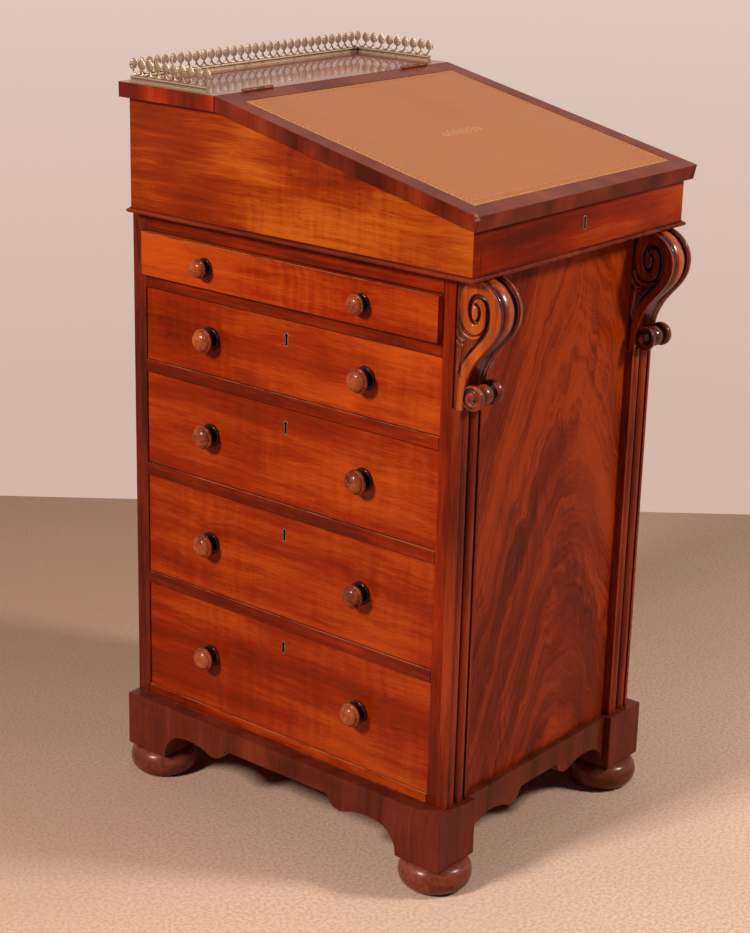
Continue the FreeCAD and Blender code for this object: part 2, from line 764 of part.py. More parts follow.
# Turns that take a master's own +Z to the left, to the right and to the user's side, with its
# own +Y upwards.
FACE_LEFT = Rotation(Vector(0, -1, 0), Vector(0, 0, 1), Vector(-1, 0, 0), "ZXY")
FACE_RIGHT = Rotation(Vector(0, 1, 0), Vector(0, 0, 1), Vector(1, 0, 0), "ZXY")
FACE_USER = Rotation(Vector(1, 0, 0), Vector(0, 0, 1), Vector(0, -1, 0), "ZXY")

BAY_MIDDLE = f"(({BAY_FRONT} + {BAY_BACK}) / 2)"
DRAWERS = ("bottom_drawer", "fourth_drawer", "third_drawer", "second_drawer", "top_drawer")


def drawer_front(label, face, inner, index, cutter, turn):
    """A drawer front between two X places, with its keyhole unless it is the top one."""
    floor = opening_floor(index)
    ceiling = f"{floor} + {OPENINGS[index]}"
    low, high = sorted((face, inner), key=value)
    y = (f"{BAY_FRONT} + FrontGap", f"{BAY_BACK} - FrontGap")
    z = (f"{floor} + FrontGap", f"{ceiling} - FrontHeadroom")
    plain_label = label if cutter is None else f"{label}_blank"
    plain = board(plain_label, (low, high), y, z)
    if cutter is None:
        return plain
    head = f"{ceiling} - KeyDrop + (KeyTail - KeyRound) / 2"
    tool = copy_of(cutter, f"{label}_keyhole", face, BAY_MIDDLE, head, turn)
    return cut(label, plain, tool)


def drawer_knobs(label, face, index, large, small, turn):
    """The pair of knobs of one drawer, at the middle of its height."""
    master = small if index == 4 else large
    level = f"{opening_floor(index)} + {OPENINGS[index]} / 2"
    pair = []
    for name, shift in (("front", "-"), ("back", "+")):
        y = f"{BAY_MIDDLE} {shift} KnobSpacing / 2"
        pair.append(copy_of(master, f"{label}_knob_{name}", face, y, level, turn))
    return pair


def drawer(index, large, small, ring, cutter):
    """One working drawer: front, box boards, knobs, and lock with escutcheon."""
    label = DRAWERS[index]
    slim = index == 4
    ajar = " - TopAjar" if slim else ""
    face = f"(-{SIDE} + FrontRecess{ajar})"
    inner = f"({face} + FrontThick)"
    end = f"({BAY_RIGHT} - DrawerBackGap{ajar})"
    floor = opening_floor(index)
    ceiling = f"{floor} + {OPENINGS[index]}"
    node(drawer_front(f"{label}_front", face, inner, index, None if slim else cutter, FACE_LEFT))

    low_y = f"({BAY_FRONT} + FrontGap)"
    high_y = f"({BAY_BACK} - FrontGap)"
    z = (floor, f"{ceiling} - DrawerCut")
    between = (f"{low_y} + DrawerSide", f"{high_y} - DrawerSide")
    floor_z = (f"{floor} + 1", f"{floor} + 1 + DrawerFloor")
    inside_x = (inner, f"{end} - DrawerSide")
    group(
        f"{label}_box",
        [
            board(f"{label}_side_front", (inner, end), (low_y, between[0]), z),
            board(f"{label}_side_back", (inner, end), (between[1], high_y), z),
            board(f"{label}_back", (inside_x[1], end), between, z),
            board(f"{label}_bottom", inside_x, between, floor_z),
        ],
    )
    group(f"{label}_knobs", drawer_knobs(label, face, index, large, small, FACE_LEFT))
    if slim:
        return
    lock_y = (f"{BAY_MIDDLE} - LockWidth / 2", f"{BAY_MIDDLE} + LockWidth / 2")
    lock_top = f"{ceiling} - FrontHeadroom"
    lock_x = (inner, f"{inner} + LockThick")
    case = board(f"{label}_lock_case", lock_x, lock_y, (f"{lock_top} - LockHeight", lock_top))
    head = f"{ceiling} - KeyDrop + (KeyTail - KeyRound) / 2"
    plate = copy_of(ring, f"{label}_escutcheon", face, BAY_MIDDLE, head, FACE_LEFT)
    group(f"{label}_lock", [case, plate])


def dummy_drawers(large, small, ring, cutter):
    """The dummy side: five fixed fronts with the same knobs and escutcheons."""
    face = f"({SIDE} - FrontRecess)"
    inner = f"({SIDE} - DummyDepth)"
    fronts = []
    knobs = []
    plates = []
    for index in range(5):
        label = f"dummy_{DRAWERS[index]}"
        tool = None if index == 4 else cutter
        fronts.append(drawer_front(f"{label}_front", face, inner, index, tool, FACE_RIGHT))
        knobs += drawer_knobs(label, face, index, large, small, FACE_RIGHT)
        if index < 4:
            ceiling = f"{opening_floor(index)} + {OPENINGS[index]}"
            head = f"{ceiling} - KeyDrop + (KeyTail - KeyRound) / 2"
            plates.append(copy_of(ring, f"{label}_plate", face, BAY_MIDDLE, head, FACE_RIGHT))
    group("dummy_fronts", fronts)
    group("dummy_knobs", knobs)
    group("dummy_escutcheons", plates)


# ---------------------------------------------------------------- sliding box


def lid_underside(y):
    """The height of the lid's underside at a place along Y."""
    return f"({SHELF_UNDER} - {SLOPE} * ({HINGE_Y} - ({y})))"


def sliding_box(ring, cutter):
    side = new_body("box_side")
    start, steps = polygon(
        [
            (BOX_FRONT, DECK),
            (BOX_BACK, DECK),
            (BOX_BACK, SHELF_UNDER),
            (HINGE_Y, SHELF_UNDER),
            (BOX_FRONT, lid_underside(BOX_FRONT)),
        ]
    )
    pad(side, outline(side, "YZ_Plane", "box_side_outline", start, steps), "BoxWall")
    group(
        "box_sides",
        [
            copy_of(side, "box_side_left", "-BoxWidth / 2", "0", "0"),
            copy_of(side, "box_side_right", "BoxWidth / 2 - BoxWall", "0", "0"),
        ],
    )

    front = new_body("box_front_blank")
    inner_y = f"({BOX_FRONT} + BoxWall)"
    start, steps = polygon(
        [
            (BOX_FRONT, DECK),
            (inner_y, DECK),
            (inner_y, lid_underside(inner_y)),
            (BOX_FRONT, lid_underside(BOX_FRONT)),
        ]
    )
    sketch = outline(front, "YZ_Plane", "box_front_outline", start, steps)
    pad(front, sketch, f"2 * {INSIDE}", centred=True)
    head = f"{lid_underside(BOX_FRONT)} - KeyDrop + (KeyTail - KeyRound) / 2"
    hole = copy_of(cutter, "box_front_keyhole", "0", BOX_FRONT, head, FACE_USER)
    node(cut("box_front", front, hole))

    inside = (f"-{INSIDE}", INSIDE)
    inside_y = (inner_y, f"{BOX_BACK} - BoxWall")
    node(board("box_back", inside, (f"{BOX_BACK} - BoxWall", BOX_BACK), (DECK, SHELF_UNDER)))
    node(board("box_floor", inside, inside_y, (DECK, WELL_FLOOR)))

    lock_top = f"({lid_underside(inner_y)} - 0.5)"
    lock_z = (f"{lock_top} - LockHeight", lock_top)
    lock_y = (inner_y, f"{inner_y} + LockThick")
    case = board("box_lock_case", ("-LockWidth / 2", "LockWidth / 2"), lock_y, lock_z)
    plate = copy_of(ring, "box_escutcheon", "0", BOX_FRONT, head, FACE_USER)
    group("box_lock", [case, plate])


def box_moulding():
    """A rounded bead, mitred round the foot of the box."""
    body = new_body("box_moulding")
    outer_x = "(BoxWidth / 2 + MouldReach)"
    outer_y = (f"{BOX_FRONT} - MouldReach", f"{BOX_BACK} + MouldReach")
    start, steps = rectangle(f"-{outer_x}", outer_x, *outer_y)
    ring = pad(body, outline(body, "XY_Plane", "moulding_outer", start, steps, DECK), "MouldHeight")
    start, steps = rectangle("-BoxWidth / 2", "BoxWidth / 2", BOX_FRONT, BOX_BACK)
    inner = outline(body, "XY_Plane", "moulding_inner", start, steps, DECK)
    hole = pocket(body, inner, "MouldHeight", backwards=True)
    reach = value("BoxWidth / 2") + 0.5
    front = value(BOX_FRONT) - 0.5
    back = value(BOX_BACK) + 0.5
    names = []
    for index, edge in enumerate(hole.Shape.Edges, 1):
        middle = edge.CenterOfMass
        level = edge.BoundBox.ZLength < 1e-6
        if level and (abs(middle.x) > reach or middle.y < front or middle.y > back):
            names.append(f"Edge{index}")
    bead = body.newObject("PartDesign::Fillet", "moulding_bead")
    bead.Base = (hole, names)
    bead.setExpression("Radius", cell("MouldRound"))
    return node(body)


def shelf_and_gallery():
    shelf_x = "(BoxWidth / 2 + LidOverSide)"
    back = f"{BOX_BACK} + ShelfOverBack"
    plain = board(
        "shelf_blank",
        (f"-{shelf_x}", shelf_x),
        (f"{HINGE_Y} + LidGap", back),
        (SHELF_UNDER, BOX_TOP),
    )
    seats = []
    for hand, x in (("left", "-HingeSpread / 2"), ("right", "HingeSpread / 2")):
        ends = (f"{x} - HingeLength / 2", f"{x} + HingeLength / 2")
        leaf_y = (HINGE_Y, f"{HINGE_Y} + LidGap + LeafThick")
        leaf_z = (f"{BOX_TOP} + HingeRise - LeafDeep", f"{BOX_TOP} + 1")
        seats.append(board(f"shelf_leaf_seat_{hand}", ends, leaf_y, leaf_z))
        round_seat = doc.addObject("Part::Cylinder", f"shelf_knuckle_seat_{hand}")
        round_seat.setExpression("Radius", cell("KnuckleRadius + HingeFit"))
        round_seat.setExpression("Height", cell("HingeLength"))
        round_seat.Placement = FreeCAD.Placement(Vector(), Rotation(Vector(0, 1, 0), 90))
        seats.append(place(round_seat, ends[0], HINGE_Y, f"{BOX_TOP} + HingeRise"))
    node(cut("top_shelf", plain, *seats))
    gallery_rail()
    gallery_cresting()


def gallery_rail():
    """Three stacked strips, wide, narrow and middling, bent round three sides of the shelf."""
    body = new_body("gallery_rail")
    outer = "(BoxWidth / 2)"
    front = f"({BOX_BACK} - GalleryRun)"
    strips = (
        ("foot", "0", "0", "RailWidth"),
        ("waist", "RailHeight / 3", "RailStep", "RailWidth - RailStep"),
        ("crown", "RailHeight * 2 / 3", "RailStep / 2", "RailWidth - RailStep / 2"),
    )
    for name, lift, near, far in strips:
        start, steps = polygon(
            [
                (f"-({outer} - {near})", front),
                (f"-({outer} - {near})", f"{BOX_BACK} - {near}"),
                (f"{outer} - {near}", f"{BOX_BACK} - {near}"),
                (f"{outer} - {near}", front),
                (f"{outer} - ({far})", front),
                (f"{outer} - ({far})", f"{BOX_BACK} - ({far})"),
                (f"-({outer} - ({far}))", f"{BOX_BACK} - ({far})"),
                (f"-({outer} - ({far}))", front),
            ]
        )
        height = f"{BOX_TOP} + {lift}"
        sketch = outline(body, "XY_Plane", f"rail_{name}", start, steps, height)
        pad(body, sketch, "RailHeight / 3")
    return node(body)


def crest_strip(length, loops, last_leaf):
    """A pierced strip in the plane (along, up) that stands on its loops.

    Each loop is a half ring, cut flat where it stands. A pointed leaf rises where two loops
    meet. The strip is one outline, walked along the bottom and back along the top.
    """
    pitch = length / loops
    half_wire = value("WireWidth") / 2
    outer = pitch / 2 + half_wire
    inner = pitch / 2 - half_wire
    flat = half_wire * 0.7
    centre = outer - flat
    foot = math.sqrt(outer**2 - centre**2)
    join = centre - math.sqrt(outer**2 - (pitch / 2) ** 2)
    tip = value("CrestRise")
    half_leaf = value("LeafWidth") / 2
    edges = []

    def at(along, up):
        return Vector(along, 0, up)

    def line(start, end):
        edges.append(Part.LineSegment(start, end).toShape())

    def arc(start, through, end):
        edges.append(Part.Arc(start, through, end).toShape())

    for index in range(loops):
        middle = (index + 0.5) * pitch
        for side in (-1, 1):
            cusp = at(middle + side * pitch / 2, join)
            heel = at(middle + side * foot, 0)
            line(cusp, heel)
        line(at(middle - foot, 0), at(middle + foot, 0))
    for index in range(loops, -1, -1):
        place_of_leaf = index * pitch
        low_right = at(place_of_leaf + half_wire, centre)
        low_left = at(place_of_leaf - half_wire, centre)
        point = at(place_of_leaf, tip)
        widest = centre + (tip - centre) * 0.42
        if index == loops and not last_leaf:
            line(at(place_of_leaf, join), at(place_of_leaf, centre))
            line(at(place_of_leaf, centre), low_left)
        else:
            if index == loops:
                line(at(place_of_leaf, join), at(place_of_leaf + half_wire, join))
                line(at(place_of_leaf + half_wire, join), low_right)
            right_edge = at(place_of_leaf + half_leaf, widest)
            left_edge = at(place_of_leaf - half_leaf, widest)
            line(low_right, right_edge)
            line(right_edge, point)
            line(point, left_edge)
            line(left_edge, low_left)
        if index:
            middle = (index - 0.5) * pitch
            next_low = at((index - 1) * pitch + half_wire, centre)
            arc(low_left, at(middle, centre - inner), next_low)
        else:
            line(low_left, at(-half_wire, join))
            line(at(-half_wire, join), at(0, join))
    return Part.Face(Part.Wire(Part.__sortEdges__(edges)))


def gallery_cresting():
    """One strip along the back and one along each side, on the middle of the rail."""
    thick = value("CrestThick")
    inset = value("RailWidth / 2")
    base = value(f"{BOX_TOP} + RailHeight")
    half = value("BoxWidth / 2") - inset
    back_y = value(BOX_BACK) - inset
    front_y = value(f"{BOX_BACK} - GalleryRun") + value("WireWidth / 2")
    end_margin = thick / 2
    back_length = 2 * half
    back_face = crest_strip(back_length, int(value("CrestLoops")), True)
    back = back_face.extrude(Vector(0, thick, 0))
    back.translate(Vector(-half, back_y - thick / 2, base))
    side_length = back_y - end_margin - front_y
    side_face = crest_strip(side_length, int(value("CrestSideLoops")), False)
    side = side_face.extrude(Vector(0, thick, 0))
    side.rotate(Vector(), Vector(0, 0, 1), 90)
    left = side.copy()
    left.translate(Vector(-half + thick / 2, front_y, base))
    right = side.copy()
    right.translate(Vector(half + thick / 2, front_y, base))
    feature = doc.addObject("Part::Feature", "gallery_cresting")
    feature.Shape = Part.makeCompound([back, left, right])
    return node(place(feature))


def stationery_nest(tiny):
    """Partition boards under the shelf, with two small drawers below two pigeonholes."""
    back = f"({BOX_BACK} - BoxWall)"
    depth = (NEST_FRONT, back)
    half = "NestBoard / 2"
    level = f"({WELL_FLOOR} + PenOpening)"
    group(
        "nest_partitions",
        [
            board("nest_shelf", (f"-{INSIDE}", INSIDE), depth, (level, f"{level} + NestBoard")),
            board("nest_lower_divider", (f"-{half}", half), depth, (WELL_FLOOR, level)),
            board("nest_upper_divider", (f"-{half}", half), depth, (f"{level} + NestBoard", SHELF_UNDER)),
        ],
    )
    for hand, low, high in (("left", f"-{INSIDE}", f"-{half}"), ("right", half, INSIDE)):
        label = f"pen_drawer_{hand}"
        x = (f"{low} + PenGap", f"{high} - PenGap")
        y = (NEST_FRONT, f"{back} - PenGap")
        z = (WELL_FLOOR, f"{level} - PenGap")
        inner_x = (f"{x[0]} + PenWall", f"{x[1]} - PenWall")
        inner_y = (f"{y[0]} + PenWall", f"{y[1]} - PenWall")
        centre = f"(({low}) + ({high})) / 2"
        middle_z = f"{WELL_FLOOR} + PenOpening / 2"
        group(
            label,
            [
                board(f"{label}_front", x, (y[0], inner_y[0]), z),
                board(f"{label}_back", inner_x, (inner_y[1], y[1]), z),
                board(f"{label}_left_wall", (x[0], inner_x[0]), (inner_y[0], y[1]), z),
                board(f"{label}_right_wall", (inner_x[1], x[1]), (inner_y[0], y[1]), z),
                board(f"{label}_floor", inner_x, inner_y, (z[0], f"{z[0]} + PenWall / 2")),
                copy_of(tiny, f"{label}_knob", centre, NEST_FRONT, middle_z, FACE_USER),
            ],
        )


# ---------------------------------------------------------------- lid and hinges


def on_lid(body):
    """Places a body made in the lid's own frame: hinge line at its origin, slope along -Y."""
    body.Placement = FreeCAD.Placement(Vector(), Rotation(Vector(1, 0, 0), 1))
    body.setExpression("Placement.Rotation.Angle", cell(LID_TILT))
    return place(body, "0", HINGE_Y, BOX_TOP)


def lid_pieces():
    length = f"({LID_RUN} / cos({LID_TILT}))"
    half = "(BoxWidth / 2 + LidOverSide)"
    back = f"(LidGap / cos({LID_TILT}))"
    lid = new_body("writing_lid")
    start, steps = polygon(
        [
            (f"-{back}", "0"),
            (f"-{length}", "0"),
            (f"-{length}", "-LidThick"),
            (f"-({back} + LidThick * {SLOPE})", "-LidThick"),
        ]
    )
    pad(lid, outline(lid, "YZ_Plane", "lid_section", start, steps), f"2 * {half}", centred=True)

    def panel(inset):
        edge = f"({half} - LeatherBorder - {inset})"
        return rectangle(
            f"-{edge}",
            edge,
            f"-({length} - LeatherBorder - {inset})",
            f"-(LeatherBorder + {inset})",
        )

    start, steps = panel("0")
    pocket(lid, outline(lid, "XY_Plane", "leather_recess", start, steps), "LeatherSink")

    # Seats of the hinge leaves and knuckles, upright behind the lid's back edge.
    leaf = f"((LidGap + LeafThick) / cos({LID_TILT}))"
    for hand, middle in (("left", "-HingeSpread / 2"), ("right", "HingeSpread / 2")):
        ends = (f"{middle} - HingeLength / 2", f"{middle} + HingeLength / 2")
        section = [
            ("0", "2"),
            (f"-{leaf}", "2"),
            (f"-{leaf}", "0"),
            (f"-({leaf} + LeafDeep * {SLOPE})", "-LeafDeep + HingeRise"),
            ("0", "-LeafDeep + HingeRise"),
        ]
        start, steps = polygon(section)
        seat = outline(lid, "YZ_Plane", f"leaf_seat_{hand}", start, steps, ends[0])
        pocket(lid, seat, "HingeLength", backwards=True)
        high = "HingeRise"
        reach = "(KnuckleRadius + HingeFit)"
        round_steps = [((f"-{reach}", high), ("0", f"{high} - {reach}")), (("0", f"{high} + {reach}"),)]
        start = ("0", f"{high} + {reach}")
        knuckle = outline(lid, "YZ_Plane", f"knuckle_seat_{hand}", start, round_steps, ends[0])
        pocket(lid, knuckle, "HingeLength", backwards=True)

    strike_v = f"(({HINGE_Y} - ({BOX_FRONT} + BoxWall + LockThick / 2)) / cos({LID_TILT}))"
    middle_v = f"({strike_v} - LidThick * {SLOPE})"
    start, steps = rectangle(
        "-StrikeLength / 2",
        "StrikeLength / 2",
        f"-({middle_v} + StrikeWidth / 2)",
        f"-({middle_v} - StrikeWidth / 2)",
    )
    seat = outline(lid, "XY_Plane", "strike_seat", start, steps, "-LidThick")
    pocket(lid, seat, "StrikeThick", backwards=True)
    node(on_lid(lid))

    strike = new_body("lock_strike")
    pad(strike, outline(strike, "XY_Plane", "strike_plate", start, steps, "-LidThick"), "StrikeThick")
    node(on_lid(strike))

    leather = new_body("lid_leather")
    start, steps = panel("LidGap")
    skin = outline(leather, "XY_Plane", "leather_outline", start, steps)
    pad(leather, skin, "LeatherSink", backwards=True)
    node(on_lid(leather))


def hinge_half(label, side, knuckles, others):
    """A leaf upright beside the hinge line, with its knuckles fused to it.

    side is +1 for the box and -1 for the lid. knuckles and others are the stretches of the
    hinge, as shares of its length, where this leaf and the other one hold the pin.
    """
    length = value("HingeLength")
    radius = value("KnuckleRadius")
    fit = value("HingeFit")
    thick = value("LeafThick")
    gap = value("LidGap")
    deep = value("LeafDeep")
    along = Vector(1, 0, 0)
    near = gap if side > 0 else -gap - thick
    shape = Part.makeBox(length, thick, deep, Vector(0, near, -deep))
    for low, high in knuckles:
        start = Vector(length * low + fit / 2, 0, 0)
        run = length * (high - low) - fit
        shape = shape.fuse(Part.makeCylinder(radius, run, start, along))
    for low, high in others:
        start = Vector(length * low - fit / 2, 0, 0)
        run = length * (high - low) + fit
        shape = shape.cut(Part.makeCylinder(radius + fit, run, start, along))
    bore = Part.makeCylinder(value("PinRadius + PinFit"), length, Vector(), along)
    shape = shape.cut(bore).removeSplitter()
    feature = doc.addObject("Part::Feature", label)
    feature.Shape = shape
    return feature


def hinges():
    box_share = ((0, 0.3), (0.7, 1))
    lid_share = ((0.3, 0.7),)
    low = "-HingeLength / 2"
    box_leaf = hinge_half("box_leaf", 1, box_share, lid_share)
    lid_leaf = hinge_half("lid_leaf", -1, lid_share, box_share)
    pin = doc.addObject("Part::Cylinder", "hinge_pin")
    pin.setExpression("Radius", cell("PinRadius"))
    pin.setExpression("Height", cell("HingeLength"))
    lie_along = Rotation(Vector(0, 1, 0), 90)
    height = f"{BOX_TOP} + HingeRise"
    sets = (
        ("hinge_box_leaves", box_leaf, None),
        ("hinge_lid_leaves", lid_leaf, None),
        ("hinge_pins", pin, lie_along),
    )
    for label, master, turn in sets:
        pair = []
        for hand, middle in (("left", "-HingeSpread / 2"), ("right", "HingeSpread / 2")):
            x = f"{middle} {low}"
            pair.append(copy_of(master, f"{label}_{hand}", x, HINGE_Y, height, turn))
        group(label, pair)


# ---------------------------------------------------------------- the whole desk


def write_parts():
    """Checks every object, then writes each sub-part to its own file."""
    doc.recompute()
    failed = [thing.Label for thing in doc.Objects if {"Invalid", "Error"} & set(thing.State)]
    if failed:
        raise RuntimeError(f"failed objects: {failed}")
    labels = [thing.Label for thing in nodes]
    if len(set(labels)) != len(labels) or len(labels) > 60:
        raise RuntimeError(f"{len(labels)} nodes, labels must differ")
    for thing in nodes:
        if thing.Shape.isNull() or not thing.Shape.isValid() or not thing.Shape.Solids:
            raise RuntimeError(f"{thing.Label} has no valid solid")
    os.makedirs("parts", exist_ok=True)
    for thing in nodes:
        thing.Shape.exportStep(f"parts/{thing.Label}.step")
    print(f"{len(nodes)} nodes written")


def main():
    plinth()
    carcass()
    sliding_deck()
    pilasters()
    scroll_bracket("scroll_bracket_left", f"-{SIDE}")
    scroll_bracket("scroll_bracket_right", f"{SIDE} - PostWidth")
    large = knob("large_knob", "KnobRadius", "KnobReach")
    small = knob("small_knob", "SmallKnobRadius", "SmallKnobReach")
    tiny = knob("pen_knob", "PenKnobRadius", "PenKnobReach")
    ring, cutter = escutcheon_masters()
    for index in range(5):
        drawer(index, large, small, ring, cutter)
    dummy_drawers(large, small, ring, cutter)
    sliding_box(ring, cutter)
    box_moulding()
    shelf_and_gallery()
    stationery_nest(tiny)
    lid_pieces()
    hinges()
    write_parts()


main()
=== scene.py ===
"""Davenport desk: polished boards, turnings, carving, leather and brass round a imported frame.

+X is the user's right, -Y is the user's side and +Z is up, in metres. Every group of pieces
has an operator of its own, and the sizes and colours that a user would change are settings.
"""
import math

import bmesh
import bpy
import numpy as np
from bpy.props import FloatProperty, FloatVectorProperty, PointerProperty
from mathutils import Matrix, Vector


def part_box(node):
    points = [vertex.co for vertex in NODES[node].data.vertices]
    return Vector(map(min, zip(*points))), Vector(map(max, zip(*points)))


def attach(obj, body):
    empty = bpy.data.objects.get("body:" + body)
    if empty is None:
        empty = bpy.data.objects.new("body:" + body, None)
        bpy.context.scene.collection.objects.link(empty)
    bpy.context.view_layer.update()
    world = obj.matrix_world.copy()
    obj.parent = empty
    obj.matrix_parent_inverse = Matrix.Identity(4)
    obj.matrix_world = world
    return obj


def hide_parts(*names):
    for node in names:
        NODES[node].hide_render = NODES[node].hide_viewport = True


bl_info = {
    "name": "Davenport Desk",
    "version": (1, 0, 0),
    "blender": (4, 5, 0),
    "location": "3D View > Sidebar > Davenport",
    "description": "Polished woodwork, carving, leather and brass of a davenport desk",
    "category": "Object",
}

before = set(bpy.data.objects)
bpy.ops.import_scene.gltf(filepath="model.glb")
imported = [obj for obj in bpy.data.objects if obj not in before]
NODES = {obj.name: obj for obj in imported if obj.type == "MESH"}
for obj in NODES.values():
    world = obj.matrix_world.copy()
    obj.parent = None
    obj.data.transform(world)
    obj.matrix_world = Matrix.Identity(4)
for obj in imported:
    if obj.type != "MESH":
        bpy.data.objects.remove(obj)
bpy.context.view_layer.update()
MM = 0.001
UP = (0, 0, 1)
# Points round a turned piece.
AROUND = 48
# Rounding of the small fittings.
FINE_ARRIS = 0.25 * MM


def corners(node):
    """Lowest and highest corner of a CAD node, as two arrays."""
    return tuple(np.array(corner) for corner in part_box(node))


# ---------------------------------------------------------------- settings


def length(name, description, default, high=0.1):
    """A size in metres."""
    return FloatProperty(
        name=name, description=description, default=default, min=0, max=high, unit="LENGTH",
        precision=4,
    )


def share(name, description, default, high=1.0):
    """A plain number."""
    return FloatProperty(name=name, description=description, default=default, min=0, max=high)


def colour(name, description, default):
    """A linear colour."""
    return FloatVectorProperty(
        name=name, description=description, default=default, min=0, max=1, subtype="COLOR"
    )


def power(name, description, default):
    """A lamp's power."""
    return FloatProperty(name=name, description=description, default=default, unit="POWER")


class DavenportFinish(bpy.types.PropertyGroup):
    arris: length("Arris", "Rounding of the boards' edges", 0.8 * MM, 0.005)
    polish: share("Polish", "Roughness of the polished wood", 0.3)
    figure_light: colour("Figured, light", "Light streaks of the veneer", (0.44, 0.058, 0.005))
    figure_mid: colour("Figured, middle", "Ground of the veneer", (0.25, 0.017, 0.001))
    figure_dark: colour("Figured, dark", "Dark streaks of the veneer", (0.10, 0.008, 0.001))
    solid_light: colour("Solid, light", "Light streaks of the solid wood", (0.30, 0.040, 0.008))
    solid_mid: colour("Solid, middle", "Ground of the solid wood", (0.165, 0.017, 0.004))
    solid_dark: colour("Solid, dark", "Dark streaks of the solid wood", (0.055, 0.006, 0.0025))
    leather: colour("Leather", "Writing surface", (0.355, 0.120, 0.041))
    gilt: colour("Gilt", "Tooling on the leather", (0.55, 0.30, 0.10))
    brass: colour("Brass", "Gallery, hinges and escutcheons", (0.68, 0.58, 0.38))


class DavenportTurning(bpy.types.PropertyGroup):
    foot_radius: length("Foot radius", "Widest radius of a bun foot", 44.4 * MM)
    foot_tread: length("Foot tread", "Radius of the flat under a bun foot", 25 * MM)
    knob_groove: length("Knob quirk", "Depth of the ring round a knob's dome", 0.4 * MM, 0.003)


class DavenportCarving(bpy.types.PropertyGroup):
    volute_depth: length("Volute depth", "Depth of the spiral groove", 4.6 * MM, 0.006)
    ground_depth: length("Ground depth", "Ground behind the scroll", 2.6 * MM, 0.006)
    flute_depth: length("Flute depth", "Grooves beside the bracket's bead", 4.4 * MM, 0.006)


class DavenportGallery(bpy.types.PropertyGroup):
    bud_width: length("Bud width", "Width of a bud of the cresting", 12.7 * MM, 0.02)
    bud_thickness: length("Bud thickness", "Thickness of a bud", 2.4 * MM, 0.01)
    loop_wire: length("Loop", "Width of a crescent loop at its middle", 2.2 * MM, 0.01)


class DavenportStage(bpy.types.PropertyGroup):
    floor: colour("Floor", "Pale floor", (0.78, 0.51, 0.38))
    wall: colour("Backdrop", "Pale backdrop, low down", (0.66, 0.47, 0.40))
    wall_top: colour("Backdrop top", "Pale backdrop, high up", (0.75, 0.59, 0.52))
    key_power: power("Key", "Lamp at the drawer side", 98)
    fill_power: power("Fill", "Lamp at the user's side", 66)
    top_power: power("Top", "Broad lamp overhead", 17)
    soft_light: share("Soft light", "Even light from all round", 0.03)


# ---------------------------------------------------------------- meshes


def grid_faces(rows, columns, wrap_rows=False, wrap_columns=False):
    """Quads between neighbouring points of a grid that is numbered row by row."""
    row, column = np.meshgrid(
        np.arange(rows if wrap_rows else rows - 1),
        np.arange(columns if wrap_columns else columns - 1),
        indexing="ij",
    )
    here, below = row * columns, (row + 1) % rows * columns
    beside = (column + 1) % columns
    quads = (here + column, here + beside, below + beside, below + column)
    return np.stack(quads, -1).reshape(-1, 4)


def rows_of(x, y, z):
    """Grids of x, y and z, or numbers, as rows of points."""
    return np.stack(np.broadcast_arrays(x, y, z), -1).reshape(-1, 3)


def eased(points, per_span):
    """Smooth curve through the points.

    Between two points it is half of 2b + (c - a)t + (2a - 5b + 4c - d)t^2 +
    (3b - a - 3c + d)t^3, where b and c are the two points and a and d their neighbours.
    """
    spots = np.asarray(points, float)
    spots = np.vstack([2 * spots[0] - spots[1], spots, 2 * spots[-1] - spots[-2]])
    a, b, c, d = (spots[k : len(spots) - 3 + k, None] for k in range(4))
    t = np.arange(per_span)[None, :, None] / per_span
    curve = 2 * b + (c - a) * t + (2 * a - 5 * b + 4 * c - d) * t**2
    curve = (curve + (3 * b - a - 3 * c + d) * t**3) / 2
    return np.vstack([curve.reshape(-1, spots.shape[1]), spots[-2]])


def turned(profile, centre, axes, around=AROUND):
    """Surface of revolution: centre + r cos(angle) a + r sin(angle) b + h c.

    r and h are the profile's columns, and a, b and c the rows of axes.
    """
    profile = np.asarray(profile, float)
    angle = np.linspace(0, 2 * math.pi, around, endpoint=False)[None, :, None]
    radius, height = profile[:, None, :1], profile[:, None, 1:]
    a, b, c = np.asarray(axes, float)
    points = centre + radius * (np.cos(angle) * a + np.sin(angle) * b) + height * c
    return points.reshape(-1, 3), grid_faces(len(profile), around, wrap_columns=True)


def carried(profile, origins, across, up, closed=False):
    """Profile carried along a path: origin + x across + y up at each station.

    The profile is a closed loop of (x, y) points. An open path gets a flat cap at each end.
    """
    profile = np.asarray(profile, float)[None]
    origins, across, up = (np.asarray(rows, float)[:, None] for rows in (origins, across, up))
    points = origins + profile[..., :1] * across + profile[..., 1:] * up
    stations, count = points.shape[:2]
    faces = grid_faces(stations, count, wrap_rows=closed, wrap_columns=True).tolist()
    if not closed:
        faces += [[*range(count)], [*range((stations - 1) * count, stations * count)]]
    return points.reshape(-1, 3), faces


def face_outwards(mesh, weld=False):
    """Turns the faces outwards, after doubles are merged where weld asks for it."""
    shape = bmesh.new()
    shape.from_mesh(mesh)
    if weld:
        bmesh.ops.remove_doubles(shape, verts=shape.verts, dist=1e-6)
        bmesh.ops.dissolve_degenerate(shape, edges=shape.edges, dist=1e-7)
    bmesh.ops.recalc_face_normals(shape, faces=shape.faces)
    shape.to_mesh(mesh)
    shape.free()


def hang(name, mesh, looks, body, nodes):
    """Makes the object, gives it its materials and ties it to the frame."""
    old = bpy.data.objects.get(name)
    if old is not None:
        bpy.data.objects.remove(old)
    piece = bpy.data.objects.new(name, mesh)
    bpy.context.scene.collection.objects.link(piece)
    for look in looks:
        mesh.materials.append(look)
    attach(piece, body)
    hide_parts(*nodes)
    return piece


